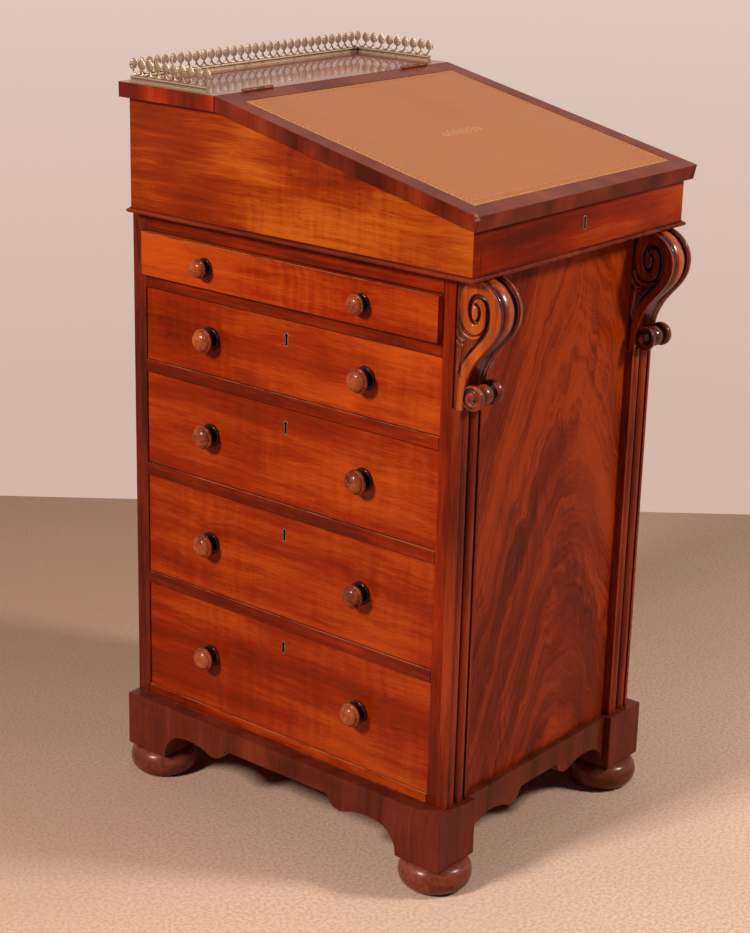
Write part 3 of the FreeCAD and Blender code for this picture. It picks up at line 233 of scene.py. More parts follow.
def round_arrises(piece, width, segments, method):
    """A Bevel modifier on the edges that the method picks."""
    bevel = piece.modifiers.new("arris", "BEVEL")
    bevel.width, bevel.segments, bevel.limit_method = width, segments, method
    bevel.harden_normals = True
    return bevel


def make_piece(name, shells, look, body, node, degrees=38):
    """One piece from closed shells, each (points, faces) or (points, faces, rub).

    rub is a number for each point for wear and painted light: 1 where the polish is worn
    bright and lit, 0 in the hollows, where it paints shade.
    Edges that turn by more than the degrees stay sharp.
    """
    points, faces, wear_and_light_maps, first = [], [], [], 0
    for spots, quads, *rub in shells:
        quads = quads.tolist() if isinstance(quads, np.ndarray) else quads
        faces += [[first + corner for corner in quad] for quad in quads]
        points.append(spots)
        wear_and_light_maps.append(rub[0] if rub else np.ones(len(spots)))
        first += len(spots)
    mesh = bpy.data.meshes.new(name)
    mesh.from_pydata(np.vstack(points), [], faces)
    if any(len(shell) > 2 for shell in shells):
        rub = mesh.attributes.new("rub", "FLOAT", "POINT")
        rub.data.foreach_set("value", np.concatenate(wear_and_light_maps).astype(np.float32))
    face_outwards(mesh, weld=True)
    mesh.shade_smooth()
    mesh.set_sharp_from_angle(angle=math.radians(degrees))
    return hang(name, mesh, [look], body, [node])


def softened(name, nodes, looks, body, width=None, pick=None, worn=None):
    """A merged copy of CAD nodes: flat faces joined, arrises rounded by a Bevel modifier.

    pick gives a face its material number from its normal, and worn is the material of the
    rounded arrises, which carries their wear and the painted highlight on upward edges.
    """
    shape = bmesh.new()
    for node in nodes:
        shape.from_mesh(NODES[node].data)
    bmesh.ops.remove_doubles(shape, verts=shape.verts, dist=0.01 * MM)
    flat = math.radians(1)
    bmesh.ops.dissolve_limit(shape, angle_limit=flat, verts=shape.verts, edges=shape.edges)
    for face in shape.faces:
        turns = [edge.calc_face_angle(0) for edge in face.edges]
        face.smooth = any(0.02 < turn < 0.6 for turn in turns)
        face.material_index = pick(face.normal) if pick else 0
    mesh = bpy.data.meshes.new(name)
    shape.to_mesh(mesh)
    shape.free()
    if mesh.has_custom_normals:
        mesh.normals_split_custom_set([(0, 0, 0)] * len(mesh.loops))
    piece = hang(name, mesh, looks + [worn] if worn else looks, body, nodes)
    width = width or bpy.context.scene.davenport_finish.arris
    bevel = round_arrises(piece, width, 2, "ANGLE")
    bevel.angle_limit = math.radians(35)
    if worn:
        bevel.material = len(looks)


# ---------------------------------------------------------------- materials


class Value:
    """A node's output that adds, subtracts and multiplies like a number."""

    def __init__(self, nodes, socket):
        self.nodes, self.socket = nodes, socket

    def __add__(self, other):
        return self.nodes.maths("ADD", self, other)

    def __sub__(self, other):
        return self.nodes.maths("SUBTRACT", self, other)

    def __rsub__(self, other):
        return self.nodes.maths("SUBTRACT", other, self)

    def __mul__(self, other):
        return self.nodes.maths("MULTIPLY", self, other)

    def __abs__(self):
        return self.nodes.maths("ABSOLUTE", self)


class Nodes:
    """Fills a node tree. Its methods take and give values, sockets, numbers and colours."""

    def __init__(self, tree):
        tree.nodes.clear()
        self.tree = tree

    def add(self, kind, **inputs):
        """A node, with its inputs set or linked by name."""
        made = self.tree.nodes.new("ShaderNode" + kind)
        self.fill(made, inputs)
        return made

    def fill(self, made, inputs):
        for name, given in inputs.items():
            self.feed(made.inputs[name.replace("_", " ")], given)

    def feed(self, socket, given):
        given = getattr(given, "socket", given)
        if isinstance(given, bpy.types.NodeSocket):
            self.tree.links.new(given, socket)
        elif socket.type == "RGBA" and len(given) == 3:
            socket.default_value = (*given, 1)
        else:
            socket.default_value = given

    def worked(self, kind, operation, values):
        """A node that works out one thing from the values, which are fed in order."""
        made = self.add(kind)
        made.operation = operation
        for socket, given in zip(made.inputs, values):
            self.feed(socket, given)
        return made.outputs

    def maths(self, operation, *values):
        return Value(self, self.worked("Math", operation, values)[0])

    def vector(self, operation, *values):
        """A dot product or a distance is a number, and the rest are vectors."""
        number = operation in ("DOT_PRODUCT", "DISTANCE")
        outputs = self.worked("VectorMath", operation, values)
        return Value(self, outputs["Value" if number else "Vector"])

    def split(self, vector):
        """X, Y and Z of a vector."""
        return [Value(self, part) for part in self.add("SeparateXYZ", Vector=vector).outputs]

    def mix(self, factor, first, second, blend="MIX"):
        made = self.add("Mix")
        made.data_type, made.blend_type = "RGBA", blend
        for number, given in ((0, factor), (6, first), (7, second)):
            self.feed(made.inputs[number], given)
        return made.outputs[2]


class Surface(Nodes):
    """The node tree of one material."""

    def __init__(self, name):
        self.material = bpy.data.materials.get(name) or bpy.data.materials.new(name)
        self.material.use_nodes = True
        super().__init__(self.material.node_tree)
        self.shader = self.add("BsdfPrincipled")
        self.add("OutputMaterial", Surface=self.shader.outputs["BSDF"])
        self.place = self.add("TexCoord").outputs["Object"]

    def mapped(self, vector, location=(0, 0, 0), rotation=(0, 0, 0), scale=(1, 1, 1)):
        made = self.add(
            "Mapping", Vector=vector, Location=location, Rotation=rotation, Scale=scale
        )
        return made.outputs["Vector"]

    def noise(self, vector, scale=1.0, detail=2.0, roughness=0.5):
        made = self.add(
            "TexNoise", Vector=vector, Scale=scale, Detail=detail, Roughness=roughness
        )
        return Value(self, made.outputs["Fac"])

    def steps(self, value, low, high, to_low=0.0, to_high=1.0):
        """Value brought from one range to another, with smooth ends."""
        made = self.add("MapRange")
        made.interpolation_type = "SMOOTHSTEP"
        for socket, given in zip(made.inputs, (value, low, high, to_low, to_high)):
            self.feed(socket, given)
        return Value(self, made.outputs[0])

    def ramp(self, factor, stops):
        made = self.add("ValToRGB", Fac=factor)
        elements = made.color_ramp.elements
        while len(elements) < len(stops):
            elements.new(0.5)
        for element, (position, tone) in zip(elements, stops):
            element.position = position
            element.color = (*tone, 1)
        return made.outputs["Color"]

    def bump(self, height, distance, strength, normal=None):
        made = self.add("Bump", Height=height, Distance=distance, Strength=strength)
        if normal is not None:
            self.feed(made.inputs["Normal"], normal)
        return made.outputs["Normal"]

    def recess(self, distance):
        """0 deep in a carved hollow of the piece, 1 on its open faces."""
        made = self.add("AmbientOcclusion", Distance=distance)
        made.samples = 6
        made.only_local = True
        return made.outputs["AO"]

    def finish(self, **inputs):
        self.fill(self.shader, inputs)
        return self.material


# Turns about Y and Z that lay an axis along the grain's own X.
TURNS = {"X": (0, 0), "Y": (0, -math.pi / 2), "Z": (math.pi / 2, 0)}
BARE_WOOD = (0.40, 0.18, 0.12)


def tinted(tone, *shares):
    """A colour times one share, or times a share each for red, green and blue."""
    return tuple(np.multiply(tuple(tone), shares).tolist())


def wood(
    name, tones, along, shift=(0.0, 0.0, 0.0), tilt=0.0, cloud=1.0, band=1.0, streak=1.0,
    curl=0.25, size=1.0, lift=0.0, slant=(0.0, 0.0, 0.0), coat=0.15, shine=0.06, flame=None,
    hollow=0.0, reach=0.016, wear_and_light_share=0.0, mirror=0.09, waved=0.3, chipped=None,
):
    """Polished mahogany, its grain along X, Y or Z.

    The tone is the sum of broad clouds, long bands and fine streaks along the grain, ripples
    across it and fibre. slant is a steady change of tone per metre along X, Y and Z. flame, a
    centre in X, turns the streaks into nested arches. hollow paints shade and grime into the
    piece's own recesses within reach, by ambient occlusion. rubbed scales the wear-and-light map,
    which paints shade in the hollows and keeps worn, lit parts bright. chipped is the middle of a
    worn corner. mirror is the roughness of the polish and waved how much it undulates.
    """
    polish = bpy.context.scene.davenport_finish.polish
    surface = Surface(name)
    place = surface.mapped(surface.place, location=shift, rotation=(tilt, *TURNS[along]))
    if flame is None:
        sway = surface.add("TexNoise", Vector=surface.mapped(place, scale=(2, 6, 6)), Detail=2.0)
        sway_width = (0.014 * size,) * 3
        grain = surface.vector("MULTIPLY_ADD", sway.outputs["Color"], sway_width, place)
    else:
        grain = flame_place(surface, flame)

    def layer(stretch, weight, detail=2.0):
        """Noise drawn out along the grain, and what it adds to the tone."""
        scaled = surface.mapped(grain, scale=[amount / size for amount in stretch])
        value = surface.noise(scaled, 1.0, detail, 0.55)
        return value, value * weight - weight / 2

    fibre, fibre_part = layer((30.0, 700.0, 700.0), 0.55)
    ripple_part = layer((95.0, 9.0, 9.0), curl)[1]
    parts = [
        layer((4.0, 9.0, 9.0), cloud)[1],
        layer((2.0, 26.0, 26.0), band)[1],
        layer((7.0, 150.0, 150.0), streak, 3.0)[1],
        ripple_part * surface.steps(surface.noise(place, 7.0, 1.0), 0.42, 0.6),
        fibre_part,
    ]
    if any(slant):
        parts.append(surface.vector("DOT_PRODUCT", surface.place, slant))
    # Wear and painted light: points that the map leaves dark get painted shade.
    if wear_and_light_share:
        bright = surface.add("Attribute")
        bright.attribute_name = "rub"
        parts.append(Value(surface, bright.outputs["Fac"]) * wear_and_light_share - wear_and_light_share)
    tone = lift + 0.5
    for part in parts:
        tone = part + tone
    dark, mid, light = tones
    paint = surface.ramp(tone, ((0.05, dark), (0.5, mid), (0.95, light)))
    pores = surface.noise(surface.mapped(grain, scale=(80, 1500, 1500)), 1.0, 1.0)
    pore_mask = surface.steps(pores, 0.62, 0.74, 0.0, 0.4)
    paint = surface.mix(pore_mask, paint, tinted(dark, 0.5))
    if chipped:
        away = surface.vector("DISTANCE", surface.place, chipped)
        near = surface.steps(away, 2 * MM, 8 * MM, 1.0, 0.0)
        chips = surface.steps(surface.noise(place, 260.0, 2.0, 0.6), 0.45, 0.55)
        paint = surface.mix(near * chips, paint, BARE_WOOD)
    # Painted shade and grime: ambient occlusion darkens the piece's own recesses.
    if hollow:
        depth = surface.steps(surface.recess(reach), 0.3, 0.9, 1.0 - hollow, 1.0)
        shade = surface.add("CombineColor", Red=depth, Green=depth, Blue=depth)
        paint = surface.mix(1.0, paint, shade.outputs[0], "MULTIPLY")
    haze = surface.noise(place, 9.0, 3.0)
    rough = surface.steps(haze, 0.3, 0.7, polish - 0.06, polish + 0.1)
    normal = surface.bump(surface.noise(place, 26.0, 1.0), 0.3 * MM, waved)
    normal = surface.bump(fibre, 0.06 * MM, 0.1 + waved, normal)
    return surface.finish(
        Base_Color=paint, Roughness=rough, Normal=normal, Specular_IOR_Level=shine,
        Coat_Weight=coat, Coat_Roughness=mirror, Coat_IOR=1.5,
    )


def flame_place(surface, centre):
    """Grain space of a crotch veneer: x runs along nested arches and y across them.

    With a = x - centre, across is 0.5 (z + 2.6 sqrt(a^2 + 0.06^2)) and a wobble: arches at
    the centre that run out into steep straight streaks at the sides.
    """
    x, _, z = surface.split(surface.place)
    sway = surface.noise(surface.mapped(surface.place, scale=(16, 1, 5)))
    fray = surface.noise(surface.mapped(surface.place, scale=(60, 1, 22)))
    aside = x - centre
    arch = surface.maths("SQRT", aside * aside + 0.06**2) * 2.6 + z
    across = (arch + sway * 0.12 + fray * 0.045) * 0.5
    return surface.add("CombineXYZ", X=aside + sway * 0.12, Y=across).outputs[0]


def tones_of(kind):
    """Dark, middle and light tone of one kind of mahogany in the settings."""
    finish = bpy.context.scene.davenport_finish
    return [tuple(getattr(finish, f"{kind}_{depth}")) for depth in ("dark", "mid", "light")]


def figured(name, along, **more):
    """Mahogany veneer with a rippled figure."""
    return wood(name, tones_of("figure"), along, **more)


def solid(name, along, **more):
    """Plainer mahogany, with hardly any ripple."""
    return wood(name, tones_of("solid"), along, **{"curl": 0.1, **more})


def linings():
    """Plain pale wood inside the drawers, its grain along X and along Y."""
    tones = ((0.16, 0.075, 0.035), (0.33, 0.17, 0.08), (0.46, 0.27, 0.14))
    return [
        wood(
            f"lining_along_{along.lower()}", tones, along, streak=1.3, curl=0.05, coat=0.0,
            size=0.8,
        )
        for along in "XY"
    ]


def worn_arris():
    """Edges with worn polish and painted light: pale in patches where they look up, as if lit from
    above, else dark.
    """
    surface = Surface("worn_arris")
    upward = surface.split(surface.add("NewGeometry").outputs["Normal"])[2]
    patches = surface.steps(surface.noise(surface.place, 22.0, 4.0, 0.7), 0.36, 0.6, 0.2, 1.0)
    wear_and_light_share = surface.steps(upward, 0.15, 0.4) * patches
    paint = surface.mix(wear_and_light_share, (0.045, 0.006, 0.003), (0.36, 0.115, 0.045))
    return surface.finish(Base_Color=paint, Roughness=0.42, Specular_IOR_Level=0.2)


def brass(name, dullness, depth, age, strength, tinge=(1.0, 1.0, 1.0)):
    """Old brass: yellow metal with brown patina in patches and in its recesses.

    strength and tinge scale the settings' colour, age spreads the patches and depth darkens
    the recesses.
    """
    surface = Surface(name)
    tone = tinted(tinted(bpy.context.scene.davenport_finish.brass, *tinge), strength)
    patina = tinted(tone, 0.45, 0.38, 0.32)
    worn = surface.noise(surface.place, 130.0, 4.0, 0.65)
    patches = surface.steps(worn, 0.42, 0.72, age - 0.75, age)
    paint = surface.mix(patches, tone, patina)
    hidden = surface.steps(surface.recess(4 * MM), 0.4, 0.98, depth, 0.0)
    paint = surface.mix(hidden, paint, tinted(patina, 0.4))
    return surface.finish(
        Base_Color=paint, Metallic=0.9,
        Roughness=surface.steps(patches, 0.0, 1.0, dullness - 0.05, dullness + 0.2),
        Normal=surface.bump(surface.noise(surface.place, 900.0), 0.05 * MM, 0.6),
    )


def dark_brass():
    """Brass of the locks and pins, nearly black with age."""
    return brass("dark_brass", dullness=0.45, depth=0.8, age=0.97, strength=0.42)


def tooled_leather(name, half_x, half_y):
    """Tan leather with a worn gilt border and a small gilt flourish at its middle.

    The UV map is in metres from the middle. The border is two lines with a chain of lozenges
    between, at fixed distances from the edge. The flourish is two mirrored sine scrolls, whose
    height shrinks with the square of x, and rings between and beyond them.
    """
    finish = bpy.context.scene.davenport_finish
    surface = Surface(name)
    spot = surface.add("UVMap")
    spot.uv_map = "sheet"
    x, y, _ = surface.split(spot.outputs["UV"])
    from_x, from_y = half_x - abs(x), half_y - abs(y)
    edge = surface.maths("MINIMUM", from_x, from_y)
    beside = surface.maths("LESS_THAN", from_x, from_y)
    run = beside * y + (1.0 - beside) * x

    def drawn(off, solid_part, width):
        """Mask of a line: full within a share of its width, and nothing beyond the width."""
        return surface.steps(abs(off), width * solid_part, width, 1.0, 0.0)

    def ring(middle, radius, width):
        """Gilt circle round a point on the X axis of the sheet, and its mirror image."""
        far = abs(x) - middle
        return drawn(surface.maths("SQRT", far * far + y * y) - radius, 0.5, width)

    def union(whole, *masks):
        for mask in masks:
            whole = surface.maths("MAXIMUM", whole, mask)
        return whole

    lozenge = abs(edge - 6.2 * MM) * 1.2 + surface.maths("PINGPONG", run, 3.2 * MM)
    chain = surface.steps(lozenge, 2.3 * MM, 2.9 * MM, 1.0, 0.0)
    wave = surface.maths("SINE", x * 250.0) * (x * x * -4.8 + 8.5 * MM)
    line = surface.steps(abs(abs(y) - abs(wave)), 0.9 * MM, 1.7 * MM, 1.0, 0.0)
    scroll = line * surface.maths("LESS_THAN", abs(x), 36.0 * MM)
    flourish = union(
        scroll, ring(0.0, 6.5 * MM, 1.4 * MM), ring(0.0, 1.5 * MM, 2.0 * MM),
        ring(12.5 * MM, 3.6 * MM, 1.3 * MM), ring(24.0 * MM, 3.0 * MM, 1.3 * MM),
        ring(33.5 * MM, 1.6 * MM, 1.5 * MM),
    )
    outer, inner = drawn(edge - 1.6 * MM, 0.6, 1.3 * MM), drawn(edge - 11.0 * MM, 0.6, 0.7 * MM)
    kept = surface.steps(surface.noise(surface.place, 420.0, 3.0, 0.7), 0.4, 0.62, 0.12, 1.0)
    gilt = union(outer, inner, chain * 0.7, flourish * 0.7) * kept

    base = tuple(finish.leather)
    blotches = surface.steps(surface.noise(surface.place, 5.0, 5.0, 0.6), 0.35, 0.7)
    tone = surface.mix(blotches, base, tinted(base, 0.9, 0.85, 0.8))
    outside = surface.steps(edge, 9.5 * MM, 10.5 * MM, 1.0, 0.0)
    tone = surface.mix(outside, tone, tinted(base, 0.88, 0.72, 0.34))
    rim = surface.steps(abs(edge - 10.8 * MM), 1.0 * MM, 2.2 * MM, 0.6, 0.0)
    tone = surface.mix(rim, tone, tinted(base, 0.95, 0.6, 0.3))
    tone = surface.mix(gilt, tone, tuple(finish.gilt))
    cells = surface.add("TexVoronoi", Vector=surface.place, Scale=900.0)
    pebble = surface.bump(cells.outputs["Distance"], 0.07 * MM, 0.7)
    return surface.finish(
        Base_Color=tone, Roughness=surface.steps(gilt, 0.0, 1.0, 0.5, 0.35),
        Normal=surface.bump(gilt, 0.15 * MM, -0.6, pebble), Metallic=gilt * 0.35,
        Specular_IOR_Level=0.3,
    )


# ---------------------------------------------------------------- carcass boards

DRAWERS = ("bottom_drawer", "fourth_drawer", "third_drawer", "second_drawer", "top_drawer")


def face_side(normal):
    """0 on faces that look up or down, 1 on those that look along X, 2 along Y."""
    sizes = [abs(normal.z), abs(normal.x), abs(normal.y)]
    return sizes.index(max(sizes))


def make_carcass():
    """Posts, rails, plinth and panels, each with the grain that its board has."""
    posts = figured("mahogany_posts", "Z", shift=(0.3, 0.1, 0.0), lift=-0.25, size=0.8)
    rear = solid("mahogany_rear_posts", "Z", shift=(0.3, 0.6, 0.0), lift=-0.28, size=0.8)
    rails = figured(
        "mahogany_rails", "Y", shift=(0.7, 0.2, 0.0), lift=-0.28, size=0.7, slant=(0, -0.7, 0)
    )
    foot_rail = figured("mahogany_foot_rail", "Y", shift=(0.1, 0.7, 0.0), lift=0.1, size=0.7)
    plinth = wood(
        "mahogany_plinth", ((0.05, 0.008, 0.005), (0.135, 0.019, 0.008), (0.23, 0.040, 0.013)),
        "Z", shift=(0.9, 0.0, 0.3), lift=-0.1, streak=0.4, cloud=0.9, coat=0.1,
    )
    panel = wood(
        "flame_panel", ((0.070, 0.0065, 0.002), (0.170, 0.0145, 0.0015), (0.31, 0.036, 0.003)),
        "Z", flame=0.045, cloud=1.5, band=1.15, streak=1.3, curl=0.9, lift=-0.11,
        slant=(0, 0, 0.55), coat=0.06, size=0.62,
    )
    back = figured("back_veneer", "Z", shift=(0.0, 0.9, 0.0), lift=-0.15, size=1.4)
    worn = worn_arris()
    for node, look, edges in (
        ("front_posts", posts, None), ("rear_posts", rear, None), ("top_rails", rails, worn),
        ("drawer_rails", rails, worn), ("dummy_rails", rails, worn),
        ("bottom_rails", foot_rail, worn), ("plinth_rails", plinth, None),
    ):
        softened(f"{node}_polished", [node], [look], "carcass", worn=edges)
    plinth_nodes = ["plinth_sides", "plinth_corner_blocks"]
    softened("plinth_case", plinth_nodes, [plinth], "carcass")
    for node, look in (("front_panel", panel), ("back_panel", back)):
        softened(f"{node}_veneered", [node], [look], "carcass")


def make_drawers():
    """Each drawer's veneered face and lined box, and the dummy side's faces."""
    oak_x, oak_y = linings()
    worn = worn_arris()
    for count, (drawer, lift) in enumerate(zip(DRAWERS, (0.07, 0.02, 0.02, 0.06, 0.13))):
        slim = drawer == "top_drawer"
        veneer = figured(
            f"{drawer}_veneer", "Y", shift=(0.37 * count, 0.11 * count, 0.05 * count),
            lift=lift, slant=(0, 0.1 if slim else -0.35, 0), curl=0.7 if slim else 0.4,
            streak=0.6, cloud=1.3,
        )
        face, box = f"{drawer}_front", f"{drawer}_box"
        softened(f"{drawer}_face", [face], [veneer], drawer, worn=worn)
        looks = [oak_x, oak_y, oak_x]
        softened(f"{drawer}_boards", [box], looks, drawer, pick=face_side)
    veneer = figured("dummy_veneer", "Y", shift=(0.2, 0.63, 0.2))
    softened(
        "dummy_faces", ["dummy_fronts"], [veneer], "carcass", worn=worn
    )


def make_inner_parts():
    """Better finishes for the CAD nodes that stay: boards that only show when it is open."""
    oak_x, oak_y = linings()
    inside = solid("mahogany_inside", "X", lift=0.1, coat=0.1)
    kept = {
        "base_board": inside, "dust_boards": oak_x, "dummy_backing": oak_y,
        "sliding_deck": inside, "slide_battens": inside, "box_floor": inside,
        "hinge_pins": dark_brass(),
    }
    for node, look in kept.items():
        piece = NODES[node]
        if not piece.material_slots:
            piece.data.materials.append(look)
        for slot in piece.material_slots:
            slot.material = look


# ---------------------------------------------------------------- sliding box and lid


def make_box():
    """The box's boards, its shelf, the stationery nest and the two drawers in it."""
    sides = wood(
        "box_side_veneer", ((0.10, 0.010, 0.002), (0.235, 0.022, 0.002), (0.42, 0.080, 0.006)),
        "Y", shift=(0.05, 0.31, 0.0), lift=0.08, size=0.8, curl=0.45, slant=(0, -1.0, 0),
        cloud=1.8, streak=0.7, coat=0.1,
    )
    ends = figured(
        "box_end_veneer", "X", shift=(0.4, 0.2, 0.0), lift=0.12, cloud=2.2, streak=0.6, coat=0.03
    )
    softened(
        "box_case", ["box_sides", "box_front", "box_back"], [ends, sides, ends], "sliding_box",
        pick=face_side,
    )
    top = solid(
        "shelf_top", "X", shift=(0.0, 0.7, 0.1), lift=-0.05, coat=0.75, shine=0.2, streak=1.3,
        mirror=0.07, waved=0.05,
    )
    banding = figured(
        "cross_banding", "Z", shift=(0.6, 0.1, 0.4), size=0.6, cloud=2.6, band=0.7, streak=0.5,
        lift=-0.4,
    )
    softened(
        "shelf_banded", ["top_shelf"], [top, banding, banding], "sliding_box",
        pick=face_side, worn=worn_arris(),
    )
    nest = solid("nest_boards", "X", shift=(0.0, 0.1, 0.6), lift=0.15, coat=0.15)
    softened("nest_polished", ["nest_partitions"], [nest], "sliding_box")
    for hand in ("left", "right"):
        node = f"pen_drawer_{hand}"
        softened(f"{node}_polished", [node], [nest], f"{node}_body", 0.4 * MM)


def make_moulding():
    """Bead round the foot of the box: a thin fillet over a half round, mitred at the corners.

    The half round is reach sin(angle) out and half its height times 1 - cos(angle) up.
    """
    low, high = corners("box_moulding")
    side_low, side_high = corners("box_sides")
    reach = side_low[0] - low[0]
    tall = high[2] - low[2]
    round_tall = tall * 0.86
    angle = np.linspace(0.1, math.pi - 0.1, 14)
    bead = np.stack([reach * np.sin(angle), round_tall / 2 * (1 - np.cos(angle))], 1)
    fillet = [(reach * 0.22, round_tall), (reach * 0.26, tall * 0.97), (reach * 0.2, tall)]
    profile = np.vstack([[(0, 0)], bead, fillet, [(0, tall)]])
    out = np.array([(-1, -1, 0), (1, -1, 0), (1, 1, 0), (-1, 1, 0)])
    left, right, front, back = side_low[0], side_high[0], low[1] + reach, high[1] - reach
    spots = ((left, front), (right, front), (right, back), (left, back))
    origins = [(x, y, low[2]) for x, y in spots]
    shell = carried(profile, origins, out, [UP] * 4, closed=True)
    look = solid("mahogany_bead", "Y", shift=(0.2, 0.9, 0.0), lift=-0.05, hollow=0.6, coat=0.12)
    make_piece("box_bead", [shell], look, "sliding_box", "box_moulding")


# The lid's drop over its run, towards the user.
SLOPE = 82.5 / 380
TILT = math.atan(SLOPE)
LID_AXES = np.array(
    [(1, 0, 0), (0, math.cos(TILT), math.sin(TILT)), (0, -math.sin(TILT), math.cos(TILT))]
)
LID_THICK = 18 * MM
# The lid's back edge stands this far in front of the shelf.
HINGE_GAP = 0.307 * MM
# The banded border, the sunk field inside it, and the leather that is laid into the field.
BORDER = 25 * MM
FIELD_SINK = 1.25 * MM
LEATHER_GAP = 0.3 * MM
LEATHER_THICK = 1.2 * MM


def lid_frame_sizes():
    """Hinge line's origin, half width of the lid and its length down the slope."""
    low, high = corners("writing_lid")
    pins = corners("hinge_pins")
    origin = np.array([0, (pins[0][1] + pins[1][1]) / 2, corners("top_shelf")[1][2]])
    return origin, high[0], (origin[1] - low[1]) / math.cos(TILT)


def make_lid():
    """Slab with a crossbanded border round a sunk field, its near corner worn round.

    Points are origin + x a + y b + z c in the lid's own slope axes. They stand in four rings
    of four: the top's outline, the field's, the sunk field's and the underside's.
    """
    origin, half, run = lid_frame_sizes()
    inner_x = half - BORDER
    field = (-(run - BORDER), -BORDER)

    def ring(x, y_low, y_high, z):
        return [(-x, y_low, z), (x, y_low, z), (x, y_high, z), (-x, y_high, z)]

    local = np.vstack(
        [
            ring(half, -run, -HINGE_GAP, 0),
            ring(inner_x, *field, 0),
            ring(inner_x, *field, -FIELD_SINK),
            ring(half, -run, -HINGE_GAP - LID_THICK * SLOPE, -LID_THICK),
        ]
    )
    faces, numbers = [[8, 9, 10, 11], [12, 13, 14, 15]], [3, 3]
    for corner in range(4):
        after = (corner + 1) % 4
        for first, second, number in ((0, 4, corner % 2), (4, 8, corner % 2), (0, 12, 2)):
            faces.append([first + corner, first + after, second + after, second + corner])
            numbers.append(number)
    chip = tuple(origin + local[0] @ LID_AXES)
    border = dict(
        size=0.7, lift=-0.12, cloud=0.9, band=0.5, streak=0.5, coat=0.12, mirror=0.2,
        chipped=chip,
    )
    looks = [
        solid("lid_border_ends", "Y", tilt=-TILT, shift=(0.1, 0.2, 0.0), **border),
        solid("lid_border_sides", "X", shift=(0.5, 0.3, 0.0), **border),
        solid(
            "lid_banding", "Z", shift=(0.2, 0.2, 0.7), size=0.6, cloud=2.4, band=0.5,
            streak=0.35, lift=-0.2, chipped=chip,
        ),
        solid("lid_underside", "X", shift=(0.9, 0.2, 0.0), lift=0.1),
    ]
    mesh = bpy.data.meshes.new("lid_banded")
    mesh.from_pydata(origin + local @ LID_AXES, [], faces)
    mesh.polygons.foreach_set("material_index", numbers)
    face_outwards(mesh)
    mesh.shade_smooth()
    weight = mesh.attributes.new("bevel_weight_edge", "FLOAT", "EDGE")
    ends = np.sort([edge.vertices[:] for edge in mesh.edges], axis=1)
    outer = (ends < 4).all(axis=1) | (ends >= 12).all(axis=1)
    outer |= (ends[:, 0] < 4) & (ends[:, 1] >= 12)
    lip = (ends >= 4).all(axis=1) & (ends < 8).all(axis=1)
    worn = (ends[:, 0] < 2) & (ends[:, 1] == ends[:, 0] + 12)
    weight.data.foreach_set("value", (0.4 * outer + 0.15 * lip + 0.6 * worn).astype(np.float32))
    piece = hang("lid_banded", mesh, looks, "lid", ["writing_lid"])
    round_arrises(piece, 2.4 * MM, 3, "WEIGHT")


def make_leather():
    """Leather skin in the lid's field: a grid with a barely wavy top and turned-down edges.

    Height is wave sin(17x) sin(13y + 1), less a drop that grows with the cube of nearness to
    the edge.
    """
    origin, half, run = lid_frame_sizes()
    half_x = half - BORDER - LEATHER_GAP
    half_y = run / 2 - BORDER - LEATHER_GAP
    middle = -run / 2
    lines = np.sin(np.linspace(-math.pi / 2, math.pi / 2, 49))
    x, y = np.meshgrid(lines * half_x, lines * half_y, indexing="ij")
    near = np.minimum(half_x - np.abs(x), half_y - np.abs(y))
    drop = 0.5 * MM * np.clip(1 - near / (2 * MM), 0, 1) ** 3
    height = 0.12 * MM * np.sin(17 * x) * np.sin(13 * y + 1) - drop - 0.13 * MM
    count = len(lines)
    faces = grid_faces(count, count)
    numbers = np.arange(count * count).reshape(count, count)
    rim = np.concatenate([numbers[0], numbers[1:, -1], numbers[-1, -2::-1], numbers[-2:0:-1, 0]])
    after = np.roll(rim, -1)
    skirt = np.stack([rim, after, after + count * count, rim + count * count], 1)
    local = np.vstack([rows_of(x, y + middle, z) for z in (height, -LEATHER_THICK)])
    shell = (origin + local @ LID_AXES, np.vstack([faces, faces + count * count, skirt]))
    look = tooled_leather("tooled_leather", half_x, half_y)
    piece = make_piece("leather_skin", [shell], look, "lid", "lid_leather", 60)
    mesh = piece.data
    spots = np.empty(len(mesh.vertices) * 3)
    mesh.vertices.foreach_get("co", spots)
    numbers = np.empty(len(mesh.loops), np.int32)
    mesh.loops.foreach_get("vertex_index", numbers)
    flat = ((spots.reshape(-1, 3) - origin) @ LID_AXES.T)[numbers, :2] - (0, middle)
    mesh.uv_layers.new(name="sheet").data.foreach_set("uv", flat.ravel())
    2 * half_x
    2 * half_y


# ---------------------------------------------------------------- turnings

KNOB_FOOT = [(0.91, 0.0), (0.95, 0.03), (0.95, 0.085), (0.90, 0.135), (0.80, 0.155)]
KNOB_NECK = [(0.60, 0.175), (0.45, 0.22), (0.41, 0.31), (0.46, 0.40), (0.64, 0.46), (0.88, 0.49)]
KNOB_RIM = [(0.965, 0.525), (1.0, 0.585), (0.985, 0.65), (0.93, 0.70), (0.885, 0.715)]
KNOB_QUIRK = (0.872, 0.715)
KNOB_DOME = [
    (0.865, 0.745), (0.81, 0.805), (0.72, 0.865), (0.58, 0.925), (0.40, 0.97), (0.2, 0.993),
    (0.0, 1.0),
]


def knob_profile(radius, reach):
    """Mushroom knob: round-edged foot, waisted neck, rim, and a dome behind a fine quirk."""
    groove = bpy.context.scene.davenport_turning.knob_groove / reach
    foot, neck, rim, dome = (eased(c, 3) for c in (KNOB_FOOT, KNOB_NECK, KNOB_RIM, KNOB_DOME))
    quirk = (KNOB_QUIRK[0], KNOB_QUIRK[1] - groove)
    return np.vstack([(0.0, 0.0), foot, neck, rim, quirk, dome]) * (radius, reach)


def knob_spots(node):
    """Centres in Y and Z, radius and reach of a drawer's two knobs."""
    low, high = corners(node)
    radius = (high[2] - low[2]) / 2
    level = (high[2] + low[2]) / 2
    return [(low[1] + radius, level), (high[1] - radius, level)], radius, high[0] - low[0]


